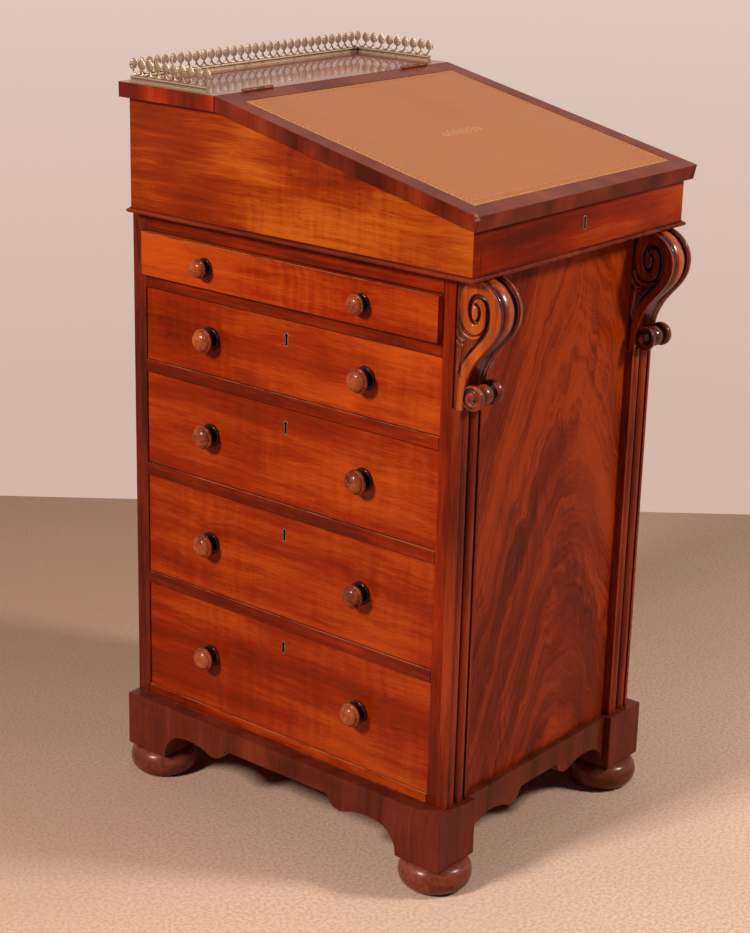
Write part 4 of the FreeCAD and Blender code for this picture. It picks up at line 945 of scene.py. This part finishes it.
def make_knobs():
    """Two knobs on each drawer and the same on the dummy side; bright domes, painted shade at the
    necks.
    """
    tones = ((0.022, 0.004, 0.002), (0.27, 0.048, 0.013), (0.44, 0.105, 0.03))
    look = wood(
        "turned_knobs", tones, "X", shift=(0.3, 0.3, 0.3), size=0.5, coat=0.22, shine=0.08,
        hollow=1.0, reach=0.03, mirror=0.11, wear_and_light_share=0.6,
    )
    left, right = (((0, 1, 0), UP, (side, 0, 0)) for side in (-1, 1))
    dummy = []
    dummy_face = corners("dummy_knobs")[0][0]
    for drawer in DRAWERS:
        node = f"{drawer}_knobs"
        spots, radius, reach = knob_spots(node)
        face = corners(node)[1][0]
        profile = knob_profile(radius, reach)
        # Wear and painted light: bright on the dome, dark at neck and foot as painted shade.
        rub = np.repeat(smooth(profile[:, 1] / reach * 5 - 2.2), AROUND)
        pair = [(*turned(profile, (face, y, z), left), rub) for y, z in spots]
        make_piece(f"{drawer}_turned_knobs", pair, look, drawer, node, 50)
        dummy += [(*turned(profile, (dummy_face, y, z), right), rub) for y, z in spots]
    make_piece(
        "dummy_turned_knobs", dummy, look, "carcass", "dummy_knobs", 50
    )


# Power of the sine that bulges a bun foot.
FOOT_FULLNESS = 0.72


def make_feet():
    """Bun feet: radius tread + swell cos(a)^fullness and height half of H (1 + sin(a))."""
    turning = bpy.context.scene.davenport_turning
    low, high = corners("bun_feet")
    tall = high[2] - low[2]
    swell = turning.foot_radius - turning.foot_tread
    angle = np.linspace(-math.pi / 2, math.pi / 2, 30)
    radius = turning.foot_tread + swell * np.cos(angle) ** FOOT_FULLNESS
    height = tall / 2 * (1 + np.sin(angle))
    profile = np.vstack([(0, 0), np.stack([radius, height], 1), (0, tall)])
    beside = high[0] - turning.foot_radius
    back, front = high[1] - turning.foot_radius, low[1] + turning.foot_radius
    middles = [(side * beside, y, low[2]) for side in (-1, 1) for y in (back, front)]
    tones = ((0.05, 0.008, 0.004), (0.15, 0.026, 0.010), (0.27, 0.062, 0.022))
    look = wood(
        "turned_feet", tones, "X", shift=(0.8, 0.1, 0.3), size=0.8, coat=0.25, shine=0.12,
        mirror=0.22,
    )
    shells = [turned(profile, middle, np.eye(3), 72) for middle in middles]
    make_piece("turned_feet", shells, look, "carcass", "bun_feet", 50)


def make_pilasters():
    """Reeded strips: sink + rise sqrt(1 - s^2) over each reed, s from -1 to 1 across it."""
    low, high = corners("pilasters")
    width = np.ptp([corner[0] for corner in corners("scroll_bracket_left")])
    deep = high[1] - low[1]
    reed, quirk, sink, arris = 15 * MM, 3 * MM, 4.6 * MM, 0.5 * MM
    flat = width / 2 - quirk / 2 - reed
    angle = np.linspace(math.radians(172), math.radians(8), 22)
    bow = np.stack([(1 + np.cos(angle)) / 2 * reed, deep - sink + sink * np.sin(angle)], 1)
    strip = [(0, 0), (0, deep - arris), (arris, deep), (flat - arris, deep), (flat, deep - arris)]
    ends = (flat, deep - sink), (flat + reed, deep - sink)
    half = np.vstack([strip, ends[0], bow + (flat, 0), ends[1]])
    profile = np.vstack([half, (half * (-1, 1) + (width, 0))[::-1]])
    look = solid(
        "mahogany_reeds", "Z", shift=(0.4, 0.4, 0.1), hollow=0.7, reach=0.004, size=0.8,
        lift=0.12, coat=0.08,
    )
    shells = []
    for start in (low[0], high[0] - width):
        origins = [(start, high[1], low[2]), (start, high[1], high[2])]
        shells.append(carried(profile, origins, [(1, 0, 0)] * 2, [(0, -1, 0)] * 2))
    make_piece("reeded_pilasters", shells, look, "carcass", "pilasters", 40)


# ---------------------------------------------------------------- scroll brackets
# Points are (reach in front of the post, rise above the pilaster) in millimetres.

FRONT_CURVE = [
    (29.5, 147.5), (35.5, 145.6), (43.2, 141.2), (50.1, 134.8), (54.8, 127.7), (57.8, 120.5),
    (59.0, 113.0), (58.4, 104.3), (56.0, 95.6), (51.0, 86.0), (44.0, 76.6), (35.8, 67.2),
    (28.2, 57.6), (22.6, 48.0), (18.3, 38.4), (15.8, 29.0), (14.6, 18.0), (13.6, 8.0), (13.0, 0.0),
]
BAND_BACK = [
    (43.5, 147.5), (43.5, 100.0), (40.4, 92.1), (31.6, 81.6), (22.7, 70.9), (15.1, 60.5),
    (10.6, 49.4), (8.2, 39.9), (7.2, 28.4), (6.4, 16.8), (6.0, 0.0),
]
SPIRAL_GROOVE = [
    (7.6, 38.0), (9.4, 48.0), (14.2, 59.0), (22.0, 69.8), (30.8, 80.4), (37.6, 89.4),
    (41.8, 98.6), (43.4, 108.4), (42.8, 118.4), (39.6, 126.8), (33.6, 130.4), (26.6, 130.6),
    (22.0, 126.8), (19.4, 121.0), (19.0, 112.6), (20.6, 105.2), (24.4, 101.6), (28.6, 103.6),
    (31.2, 109.4), (31.0, 116.0), (28.4, 120.4), (25.4, 121.4),
]
HUSK = (
    ([(5.0, 97.0), (8.4, 89.4), (14.2, 85.2), (22.0, 83.6), (29.4, 85.4), (34.6, 88.6)], 2.4, 2.6),
    ([(9.0, 78.0), (7.0, 70.0), (5.6, 60.0), (4.6, 50.0), (4.0, 42.0)], 3.2, 1.8),
    ([(1.6, 88.0), (4.6, 82.6), (9.4, 79.6), (14.6, 79.0)], 1.7, 2.3),
    ([(1.4, 76.0), (4.4, 73.4), (9.0, 73.0), (13.2, 74.6)], 1.5, 1.8),
    ([(1.6, 69.0), (4.0, 64.6), (7.0, 63.0)], 1.2, 1.3),
)
# Half width of the groove's line, beside which the wood rounds over.
CROWN_START = 1.2
VOLUTE_CENTRE, VOLUTE_SPAN = (24.3, 118.0), (18.6, 29.4)
SPOOL_CENTRE, SPOOL_RADIUS = (25.4, 16.1), 14.5


def nearest(u, v, line):
    """Distance from each grid point to a polyline, and the share of its length there."""
    spots = eased(line, 8)
    gaps = np.hypot(u[..., None] - spots[:, 0], v[..., None] - spots[:, 1])
    return gaps.min(-1), gaps.argmin(-1) / (len(spots) - 1)


def smooth(value):
    value = np.clip(value, 0, 1)
    return value * value * (3 - 2 * value)


def carved_depth(u, v, carving):
    """Depth of the carved side below its face, in millimetres.

    The spiral groove is D (1 - (d / w)^4)^(3/4) at distance d from its line, and the wood
    beside it rounds over with the square of nearness. The ground behind the band and outside
    the oval volute is sunk evenly, but for the husk's leaf under it.
    """
    gap, share_along = nearest(u, v, SPIRAL_GROOVE)
    width = 1.1 + 1.8 * smooth(share_along / 0.3) * (1 - 0.6 * smooth((share_along - 0.45) / 0.5))
    deep = carving.volute_depth / MM * smooth(share_along / 0.15)
    groove = deep * np.clip(1 - (gap / width) ** 4, 0, 1) ** 0.75
    reach, rise = np.transpose(BAND_BACK)
    behind = (np.interp(-v, -rise, reach) - u) * 0.8
    (middle_u, middle_v), (span_u, span_v) = VOLUTE_CENTRE, VOLUTE_SPAN
    oval = np.hypot((u - middle_u) / span_u, (v - middle_v) / span_v)
    outside = np.where((u > middle_u) & (v > 96), -1, (oval - 1) * 19)
    ground = carving.ground_depth / MM * smooth(np.minimum(behind, outside) / 1.2)
    lobe = 0
    for line, broad, rise in HUSK:
        ridge, along = nearest(u, v, line)
        swell = broad * (0.45 + 0.55 * np.sin(math.pi * along))
        lobe = np.maximum(lobe, rise * np.sqrt(np.clip(1 - (ridge / swell) ** 2, 0, 1)))
    crown = 1.1 * np.clip(1 - np.maximum(gap - CROWN_START, 0) / 3.2, 0, 1) ** 2
    return np.where(groove > 1.1, groove, np.maximum(ground - lobe, 0) + crown)


def band_depth(aside, neck, carving):
    """Depth of the front band below its rims, in millimetres, at a distance from its middle.

    Rim, cove, fillet, flute and half-round bead follow one another; towards the neck they
    melt into one shallow hollow 1 - (a / w)^2.
    """
    flute = carving.flute_depth / MM
    cove = 2.4 * np.sin(math.pi * np.clip((aside - 14.2) / 3.4, 0, 1)) ** 0.8
    bead = flute * (1 - np.sqrt(np.clip(1 - (aside / 10.2) ** 2, 0, 1)))
    trough = flute * smooth((13.6 - aside) / 0.8) * (aside > 10.2)
    fillet = 0.5 * ((aside > 12.8) & (aside <= 14.2))
    full = np.where(aside <= 10.2, bead, np.maximum(np.maximum(trough, fillet), cove))
    hollow = 4.0 * np.clip(1 - (aside / 18.6) ** 2, 0, 1)
    return full * (1 - neck) + hollow * neck


def spool_shells(width):
    """Disc, ball and disc on one axis across the foot of the scroll.

    Each end carries a spiral groove, cos^2 of pi (1.35 r / R - angle / 2 pi) deep.
    """
    centre = np.array([0, *SPOOL_CENTRE])
    radius = SPOOL_RADIUS
    rim = radius - 1.3
    edge = [(rim, 0.15), (radius - 0.4, 0.5), (radius, 1.6), (radius, 4.6)]
    neck = [(radius - 0.5, 6.2), (radius - 2.4, 7.6), (8.4, 8.5), (7.2, 9.4)]
    swing = np.linspace(math.radians(150), math.radians(90), 10)
    ball = np.stack([12.3 * np.sin(swing), width / 2 + 13.2 * np.cos(swing)], 1)
    half = np.vstack([eased(edge, 3), eased(neck, 3), ball])
    profile = np.vstack([half, (half[:-1] * (1, -1) + (0, width))[::-1]])
    points, faces = turned(profile, centre, ((0, 1, 0), UP, (1, 0, 0)), 72)
    hollow = np.hypot(*(points - centre)[:, 1:].T) / radius
    # Painted shade: darker towards the axis, in the necks beside the ball.
    shells = [(points, faces, 0.6 * smooth((hollow - 0.5) / 0.45))]
    ring = np.linspace(0, 1, 22) ** 0.8
    angle = np.linspace(0, 2 * math.pi, 72, endpoint=False)
    r, a = np.meshgrid(ring, angle, indexing="ij")
    turn = 1.35 * r - a / (2 * math.pi) + 0.35
    groove = np.cos(math.pi * turn) ** 2
    depth = 2.8 * groove**1.3 * smooth((r - 0.14) / 0.15) * smooth((0.96 - r) / 0.1)
    # Painted shade in the spiral grooves of the ends.
    rub = 0.6 - 0.6 * smooth(depth / 2.2).ravel()
    faces = grid_faces(len(ring), len(angle), wrap_columns=True)
    for side in (0, 1):
        across = side * width + (1 - 2 * side) * (0.15 + depth)
        end = rows_of(across, centre[1] + rim * r * np.cos(a), centre[2] + rim * r * np.sin(a))
        shells.append((end, faces, rub))
    return shells


def bracket_shells(width, carving):
    """The scroll's two carved sides, its front band and its plain top, back and foot.

    A side is a grid: rows down the front curve, columns from the post to the curve, pushed
    in by the carved depth. The band is the front curve moved inwards by the band's depth.
    """
    curve = eased(FRONT_CURVE, 11)
    curve = curve[np.concatenate([[True], np.diff(curve[:, 1]) < -1e-6])]
    rows = len(curve)
    share_across = np.linspace(0, 1, 86)
    u = curve[:, :1] * share_across
    v = np.repeat(curve[:, 1:], len(share_across), 1)
    depth = carved_depth(u, v, carving) * smooth((1 - share_across) * curve[:, :1] / 2.2)
    # Painted shade: the deeper the carving, the darker the wood; raised parts stay worn bright.
    rub = 1 - smooth(depth / 4.6).ravel()
    sides = [np.stack([side * width + (1 - 2 * side) * depth, u, v], -1) for side in (0, 1)]
    faces = grid_faces(rows, len(share_across))
    shells = [(side.reshape(-1, 3), faces, rub) for side in sides]
    way = np.gradient(curve, axis=0)
    way /= np.linalg.norm(way, axis=1, keepdims=True)
    inward = np.stack([way[:, 1], -way[:, 0]], 1)
    aside = np.linspace(-width / 2, width / 2, 85)
    neck = 0.85 * smooth((95 - curve[:, 1:]) / 60)
    sink = band_depth(np.abs(aside)[None], neck, carving)
    moved = curve[:, None] + inward[:, None] * sink[..., None]
    band = rows_of(aside + width / 2, moved[..., 0], moved[..., 1])
    # Painted light on the band: painted shade in its flutes and coves, a painted highlight on the
    # bead's upper part.
    painted_crest_light = 0.5 * smooth(1 - np.abs(aside) / 9.5)[None] * smooth((curve[:, 1:] - 78) / 40)
    rub = (1 - smooth(sink / 3.6) + painted_crest_light).ravel()
    shells.append((band, grid_faces(rows, len(aside)), rub))
    for cut in (np.s_[:, 0], 0, -1):
        strip = np.stack([side[cut] for side in sides])
        shells.append((strip.reshape(-1, 3), grid_faces(2, strip.shape[1])))
    return shells


def make_brackets():
    """The two scroll brackets, worked out in millimetres and placed by their CAD nodes."""
    carving = bpy.context.scene.davenport_carving
    tones = ((0.03, 0.0035, 0.0015), (0.20, 0.022, 0.003), (0.50, 0.085, 0.008))
    look = wood(
        "carved_mahogany", tones, "Z", shift=(0.15, 0.3, 0.2), lift=0.16, hollow=0.65,
        reach=0.01, size=0.8, coat=0.45, shine=0.15, wear_and_light_share=0.6, cloud=1.4,
    )
    for hand in ("left", "right"):
        node = f"scroll_bracket_{hand}"
        low, high = corners(node)
        width = (high[0] - low[0]) / MM
        corner = (low[0], high[1], low[2])
        placed = [
            (corner + points * (MM, -MM, MM), *rest)
            for points, *rest in bracket_shells(width, carving) + spool_shells(width)
        ]
        make_piece(f"carved_scroll_{hand}", placed, look, "carcass", node, 50)


# ---------------------------------------------------------------- brass

RAIL_WIDE = 7 * MM
# Outer half of the rail's section, in shares of its width and height.
RAIL_HALF = (
    (0, 0), (0, 0.2), (0.03, 0.26), (0.1, 0.29), (0.19, 0.36), (0.22, 0.46),
    (0.19, 0.56), (0.12, 0.62), (0.09, 0.72), (0.1, 0.84), (0.16, 0.95), (0.26, 1),
)
BACK_LOOPS, SIDE_LOOPS = 31, 9


def gallery_runs():
    """Start, direction, length and number of loops of the gallery's back and two sides."""
    low, high = corners("gallery_rail")
    left, right, back = low[0] + RAIL_WIDE / 2, high[0] - RAIL_WIDE / 2, high[1] - RAIL_WIDE / 2
    front = low[1] + 0.7 * MM
    side_run = back - front - 1 * MM
    return (
        ((left, back), (1, 0), right - left, BACK_LOOPS),
        ((left, front), (0, 1), side_run, SIDE_LOOPS),
        ((right, front), (0, 1), side_run, SIDE_LOOPS),
    )


def make_gallery():
    """Moulded rail bent round three sides, and a row of buds standing on crescent loops."""
    gallery = bpy.context.scene.davenport_gallery
    low, high = corners("gallery_rail")
    half = np.array(RAIL_HALF)
    profile = np.vstack([half, (half * (-1, 1) + (1, 0))[::-1]]) * (RAIL_WIDE, high[2] - low[2])
    spots = ((low[0], low[1]), (low[0], high[1]), (high[0], high[1]), (high[0], low[1]))
    across = [(1, 0, 0), (1, -1, 0), (-1, -1, 0), (-1, 0, 0)]
    rail = carried(profile, [(x, y, low[2]) for x, y in spots], across, [UP] * 4)
    look = brass(
        "gallery_brass", dullness=0.42, depth=0.9, age=0.95, strength=0.64,
        tinge=(1.0, 0.86, 0.89),
    )
    make_piece("moulded_rail", [rail], look, "sliding_box", "gallery_rail", 30)

    tall = corners("gallery_cresting")[1][2] - high[2]
    shells = []
    for start, way, run, loops in gallery_runs():
        pitch = run / loops
        # The back run has the buds of the two corners.
        buds = np.arange(loops + 1 if way[0] else loops) * pitch
        middles = (np.arange(loops) + 0.5) * pitch
        way = np.array([*way, 0.0])
        side = np.array([-way[1], way[0], 0.0])
        origin = np.array([*start, high[2]])
        shells.append(bud_shells(origin, way, side, buds, tall, pitch, gallery))
        shells.append(loop_shells(origin, way, side, middles, pitch, gallery))
    make_piece("bud_cresting", shells, look, "sliding_box", "gallery_cresting", 45)


def copies(way, side, along, depth, up, shifts):
    """A closed tube at each shift along a run: rows of along way + depth side + up.

    The first and the last row are drawn together to their middles.
    """
    along, depth, up = (grid[..., None] for grid in np.broadcast_arrays(along, depth, up))
    local = along * way + depth * side + up * np.array(UP)
    caps = [np.broadcast_to(row.mean(0), row.shape) for row in (local[0], local[-1])]
    rows = np.stack([caps[0], *local, caps[1]])
    count = rows.shape[0] * rows.shape[1]
    faces = grid_faces(*rows.shape[:2], wrap_columns=True)
    points = shifts[:, None] + rows.reshape(1, -1, 3)
    faces = faces[None] + (np.arange(len(shifts)) * count)[:, None, None]
    return points.reshape(-1, 3), faces.reshape(-1, 4)


def bud_shells(origin, way, side, places, tall, pitch, gallery):
    """Pointed buds: at height share s the section is an oval, (w(s) cos a, t(s, a) sin a).

    w is a thin stem that swells to sin(pi q^0.78)^0.66, q being the share of the bud's height.
    t is thickest at the rim and along a rib down the middle, and a lattice of
    sin(9 pi q) cos(3 a) cuts into it.
    """
    stem = pitch / 2 - 1.2 * MM
    leaf = (1 - np.cos(np.linspace(0, math.pi, 25))) / 2
    share_up = np.concatenate([[0, 0.06], 0.12 + 0.88 * leaf])[:, None]
    angle = np.linspace(0, 2 * math.pi, 16, endpoint=False)[None]
    below_tip = share_up < 1
    q = np.clip((share_up - 0.12) / 0.88, 0, 1)
    oval = np.sin(math.pi * q**0.78) ** 0.66 * gallery.bud_width / 2
    width = np.maximum(oval, 1.3 * MM * (1 - q) ** 0.5) * below_tip
    across = np.cos(angle)
    fat = 0.55 + 0.45 * across**2 + 0.5 * np.exp(-((across / 0.22) ** 2))
    lattice = 1 + 0.4 * np.sin(9 * math.pi * q) * np.cos(3 * angle)
    thick = gallery.bud_thickness / 2 * fat * np.sin(angle) * (0.55 + 0.45 * np.sin(math.pi * q))
    up = stem + (tall - stem) * share_up
    shifts = origin + places[:, None] * way
    return copies(way, side, width * across, thick * lattice * below_tip, up, shifts)


def loop_shells(origin, way, side, middles, pitch, gallery):
    """Crescents standing between buds: a half ring whose width is thin + thick sin(angle)."""
    swing = np.linspace(math.radians(8), math.radians(172), 13)[:, None]
    around = np.linspace(0, 2 * math.pi, 8, endpoint=False)[None]
    radius, thin = pitch / 2, 0.6 * MM
    half = thin + (gallery.loop_wire / 2 - thin) * np.sin(swing)
    reach = radius - 0.2 * MM + half * (np.cos(around) - 0.6)
    along, up = -np.cos(swing) * reach, radius - np.sin(swing) * reach
    shifts = origin + middles[:, None] * way
    return copies(way, side, along, 1.1 * MM * np.sin(around), up, shifts)


def make_locks():
    """Escutcheons and lock cases, and the strike plate under the lid."""
    look = dark_brass()
    locks = [(f"{drawer}_lock", drawer) for drawer in DRAWERS[:-1]]
    for node, body in (*locks, ("box_lock", "sliding_box")):
        softened(f"{node}_brass", [node], [look], body, width=FINE_ARRIS)
    softened(
        "dummy_escutcheon_brass", ["dummy_escutcheons"], [look], "carcass",
        width=FINE_ARRIS,
    )
    softened("lock_strike_brass", ["lock_strike"], [look], "lid", width=FINE_ARRIS)


def make_hinges():
    """The leaves of the two butt hinges."""
    look = brass(
        "hinge_bronze", dullness=0.5, depth=0.8, age=0.97, strength=0.3, tinge=(1.0, 0.42, 0.35)
    )
    for node, body in (("hinge_box_leaves", "sliding_box"), ("hinge_lid_leaves", "lid")):
        softened(f"{node}_brass", [node], [look], body, width=0.2 * MM)


# ---------------------------------------------------------------- stage

CAMERA_SPOT = (-1.9210, -1.51775, 1.2591)
HEADING, PITCH, ROLL = (math.radians(angle) for angle in (50.983, -18.711, 1.452))
SENSOR_MM, LENS_MM = 36, 98.63
# The floor's reach along the heading, and to either side of it.
FLOOR_START, FLOOR_END = -1.6, 3.5
FLOOR_ASIDE = 4.5
# The floor darkens along this direction, as painted shade for the lamps' fall-off behind the desk.
FLOOR_PAINTED_SHADE = (0.1, 0.95, 0)
# Name, spot and size of each lamp, the spot that they face, and their colour.
LAMPS = (
    ("key", (-2.6, 0.45, 2.05), 0.5),
    ("fill", (1.1, -2.1, 2.2), 0.4),
    ("top", (0.35, 0.1, 3.1), 1.4),
)
LAMP_AIM = (0.0, 0.0, 0.5)
LAMP_TONE = (1.0, 0.96, 0.9)


def stand(holder, right, up, back, spot):
    """Stands a camera or a lamp at a spot, turned to its own three directions."""
    rows = np.eye(4)
    rows[:3] = np.column_stack([right, up, back, spot])
    holder.matrix_world = Matrix(rows.tolist())
    bpy.context.scene.collection.objects.link(holder)


def make_camera():
    """Camera turned by heading and pitch, and then rolled about its line of sight."""
    level = math.cos(PITCH)
    forward = (math.sin(HEADING) * level, math.cos(HEADING) * level, math.sin(PITCH))
    right = np.array([math.cos(HEADING), -math.sin(HEADING), 0])
    up = np.cross(right, forward)
    lens = bpy.data.cameras.new("camera")
    lens.sensor_fit = "HORIZONTAL"
    lens.sensor_width = SENSOR_MM
    lens.lens = LENS_MM
    camera = bpy.data.objects.new("camera", lens)
    turned_right = math.cos(ROLL) * right + math.sin(ROLL) * up
    turned_up = math.cos(ROLL) * up - math.sin(ROLL) * right
    stand(camera, turned_right, turned_up, -np.array(forward), CAMERA_SPOT)
    bpy.context.scene.camera = camera


def lamp(name, spot, size, watts):
    """A square area lamp at a spot, turned to face the desk."""
    light = bpy.data.lights.new(name, "AREA")
    light.shape = "SQUARE"
    light.size, light.energy, light.color = size, watts, LAMP_TONE
    back = np.subtract(spot, LAMP_AIM)
    back /= np.linalg.norm(back)
    right = np.cross(UP, back)
    right /= np.linalg.norm(right)
    stand(bpy.data.objects.new(name, light), right, np.cross(back, right), back, spot)


def make_floor():
    """Flat grid that ends in a straight line behind the desk, square to the heading."""
    away = np.array([math.sin(HEADING), math.cos(HEADING), 0])
    aside = np.array([away[1], -away[0], 0])
    along = np.linspace(FLOOR_START, FLOOR_END, 12)[:, None, None]
    over = np.linspace(-FLOOR_ASIDE, FLOOR_ASIDE, 12)[:, None]
    points = np.array([*CAMERA_SPOT[:2], 0]) + along * away + over * aside
    mesh = bpy.data.meshes.new("floor")
    mesh.from_pydata(points.reshape(-1, 3), [], grid_faces(12, 12)[:, ::-1].tolist())
    surface = Surface("floor")
    pile = surface.noise(surface.place, 210.0, 3.0, 0.7)
    broad = surface.noise(surface.place, 2.0, 3.0)
    tone = tuple(bpy.context.scene.davenport_stage.floor)
    deep = tinted(tone, 0.74)
    paint = surface.mix(surface.steps(pile, 0.35, 0.62), deep, tone)
    paint = surface.mix(surface.steps(broad, 0.35, 0.7, 0.0, 0.3), paint, deep)
    # Painted shade: the floor's colour darkens behind the desk, standing in for the lamps'
    # fall-off.
    back = surface.vector("DOT_PRODUCT", surface.place, FLOOR_PAINTED_SHADE)
    shade = surface.steps(back, -0.4, 0.7, 0.0, 0.75)
    paint = surface.mix(shade, paint, tinted(tone, 0.42, 0.34, 0.28))
    look = surface.finish(
        Base_Color=paint, Roughness=0.95, Specular_IOR_Level=0.1,
        Normal=surface.bump(pile, 2.5 * MM, 0.5),
    )
    mesh.materials.append(look)
    floor = bpy.data.objects.new("floor", mesh)
    bpy.context.scene.collection.objects.link(floor)


def make_world():
    """Soft even light, and the pale backdrop for the camera, for gloss and for glass."""
    stage = bpy.context.scene.davenport_stage
    world = bpy.data.worlds.new("studio")
    world.use_nodes = True
    nodes = Nodes(world.node_tree)
    rays = nodes.add("LightPath").outputs
    seen = rays["Is Camera Ray"]
    for name in ("Is Glossy Ray", "Is Transmission Ray"):
        seen = nodes.maths("MAXIMUM", seen, rays[name])
    soft = nodes.add("Background", Color=(1.0, 0.95, 0.9), Strength=stage.soft_light)
    height = nodes.split(nodes.add("TexCoord").outputs["Generated"])[2]
    rise = nodes.add("MapRange", Value=height, From_Min=-0.28, From_Max=-0.06).outputs[0]
    backdrop = nodes.add("Background", Color=nodes.mix(rise, stage.wall, stage.wall_top))
    choose = nodes.add("MixShader")
    for socket, given in zip(choose.inputs, (seen, soft.outputs[0], backdrop.outputs[0])):
        nodes.feed(socket, given)
    nodes.add("OutputWorld", Surface=choose.outputs[0])
    bpy.context.scene.world = world


def make_stage():
    """Camera, floor, backdrop and the three lamps."""
    stage = bpy.context.scene.davenport_stage
    bpy.context.scene.view_settings.view_transform = "Standard"
    make_camera()
    make_floor()
    make_world()
    for name, spot, size in LAMPS:
        lamp(name, spot, size, getattr(stage, f"{name}_power"))


# ---------------------------------------------------------------- operators and panel


class DAVENPORT_OT_stage(bpy.types.Operator):
    """Camera, floor, backdrop and lamps"""

    bl_idname = "davenport.stage"
    bl_label = "Stage"

    def execute(self, context):
        make_stage()
        return {"FINISHED"}


class DAVENPORT_OT_carcass(bpy.types.Operator):
    """Posts, rails, panels and plinth"""

    bl_idname = "davenport.carcass"
    bl_label = "Carcass"

    def execute(self, context):
        make_carcass()
        return {"FINISHED"}


class DAVENPORT_OT_drawers(bpy.types.Operator):
    """Drawer fronts and boxes, and the dummy fronts"""

    bl_idname = "davenport.drawers"
    bl_label = "Drawers"

    def execute(self, context):
        make_drawers()
        return {"FINISHED"}


class DAVENPORT_OT_inner_parts(bpy.types.Operator):
    """Finishes of the boards that only show when it is open"""

    bl_idname = "davenport.inner_parts"
    bl_label = "Inner Parts"

    def execute(self, context):
        make_inner_parts()
        return {"FINISHED"}


class DAVENPORT_OT_box(bpy.types.Operator):
    """Box, shelf, nest and stationery drawers"""

    bl_idname = "davenport.box"
    bl_label = "Sliding Box"

    def execute(self, context):
        make_box()
        return {"FINISHED"}


class DAVENPORT_OT_moulding(bpy.types.Operator):
    """Bead round the foot of the sliding box"""

    bl_idname = "davenport.moulding"
    bl_label = "Moulding"

    def execute(self, context):
        make_moulding()
        return {"FINISHED"}


class DAVENPORT_OT_lid(bpy.types.Operator):
    """Crossbanded writing lid"""

    bl_idname = "davenport.lid"
    bl_label = "Lid"

    def execute(self, context):
        make_lid()
        return {"FINISHED"}


class DAVENPORT_OT_leather(bpy.types.Operator):
    """Tooled leather skin of the lid"""

    bl_idname = "davenport.leather"
    bl_label = "Leather"

    def execute(self, context):
        make_leather()
        return {"FINISHED"}


class DAVENPORT_OT_knobs(bpy.types.Operator):
    """Turned knobs of the drawers and of the dummy side"""

    bl_idname = "davenport.knobs"
    bl_label = "Knobs"

    def execute(self, context):
        make_knobs()
        return {"FINISHED"}


class DAVENPORT_OT_feet(bpy.types.Operator):
    """Turned bun feet"""

    bl_idname = "davenport.feet"
    bl_label = "Feet"

    def execute(self, context):
        make_feet()
        return {"FINISHED"}


class DAVENPORT_OT_pilasters(bpy.types.Operator):
    """Reeded pilasters"""

    bl_idname = "davenport.pilasters"
    bl_label = "Pilasters"

    def execute(self, context):
        make_pilasters()
        return {"FINISHED"}


class DAVENPORT_OT_brackets(bpy.types.Operator):
    """Carved scroll brackets"""

    bl_idname = "davenport.brackets"
    bl_label = "Brackets"

    def execute(self, context):
        make_brackets()
        return {"FINISHED"}


class DAVENPORT_OT_gallery(bpy.types.Operator):
    """Brass rail and its cresting"""

    bl_idname = "davenport.gallery"
    bl_label = "Gallery"

    def execute(self, context):
        make_gallery()
        return {"FINISHED"}


class DAVENPORT_OT_locks(bpy.types.Operator):
    """Escutcheons, locks and strike plate"""

    bl_idname = "davenport.locks"
    bl_label = "Locks"

    def execute(self, context):
        make_locks()
        return {"FINISHED"}


class DAVENPORT_OT_hinges(bpy.types.Operator):
    """Hinge leaves"""

    bl_idname = "davenport.hinges"
    bl_label = "Hinges"

    def execute(self, context):
        make_hinges()
        return {"FINISHED"}


STEPS = (
    DAVENPORT_OT_stage,
    DAVENPORT_OT_carcass,
    DAVENPORT_OT_drawers,
    DAVENPORT_OT_inner_parts,
    DAVENPORT_OT_box,
    DAVENPORT_OT_moulding,
    DAVENPORT_OT_lid,
    DAVENPORT_OT_leather,
    DAVENPORT_OT_knobs,
    DAVENPORT_OT_feet,
    DAVENPORT_OT_pilasters,
    DAVENPORT_OT_brackets,
    DAVENPORT_OT_gallery,
    DAVENPORT_OT_locks,
    DAVENPORT_OT_hinges,
)

SETTINGS = {
    "davenport_finish": DavenportFinish,
    "davenport_turning": DavenportTurning,
    "davenport_carving": DavenportCarving,
    "davenport_gallery": DavenportGallery,
    "davenport_stage": DavenportStage,
}


class DAVENPORT_PT_panel(bpy.types.Panel):
    bl_label = "Davenport Desk"
    bl_idname = "DAVENPORT_PT_panel"
    bl_space_type = "VIEW_3D"
    bl_region_type = "UI"
    bl_category = "Davenport"

    def draw(self, context):
        for step in STEPS:
            self.layout.operator(step.bl_idname)
        for name, group in SETTINGS.items():
            box = self.layout.box()
            for item in group.__annotations__:
                box.prop(getattr(context.scene, name), item)


def register():
    for group in SETTINGS.values():
        bpy.utils.register_class(group)
    for name, group in SETTINGS.items():
        setattr(bpy.types.Scene, name, PointerProperty(type=group))
    for step in STEPS:
        bpy.utils.register_class(step)
    bpy.utils.register_class(DAVENPORT_PT_panel)


def unregister():
    bpy.utils.unregister_class(DAVENPORT_PT_panel)
    for step in reversed(STEPS):
        bpy.utils.unregister_class(step)
    for name in SETTINGS:
        delattr(bpy.types.Scene, name)
    for group in reversed(SETTINGS.values()):
        bpy.utils.unregister_class(group)


def main():
    register()
    for step in STEPS:
        getattr(bpy.ops.davenport, step.bl_idname.split(".")[1])()


if __name__ == "__main__":
    main()
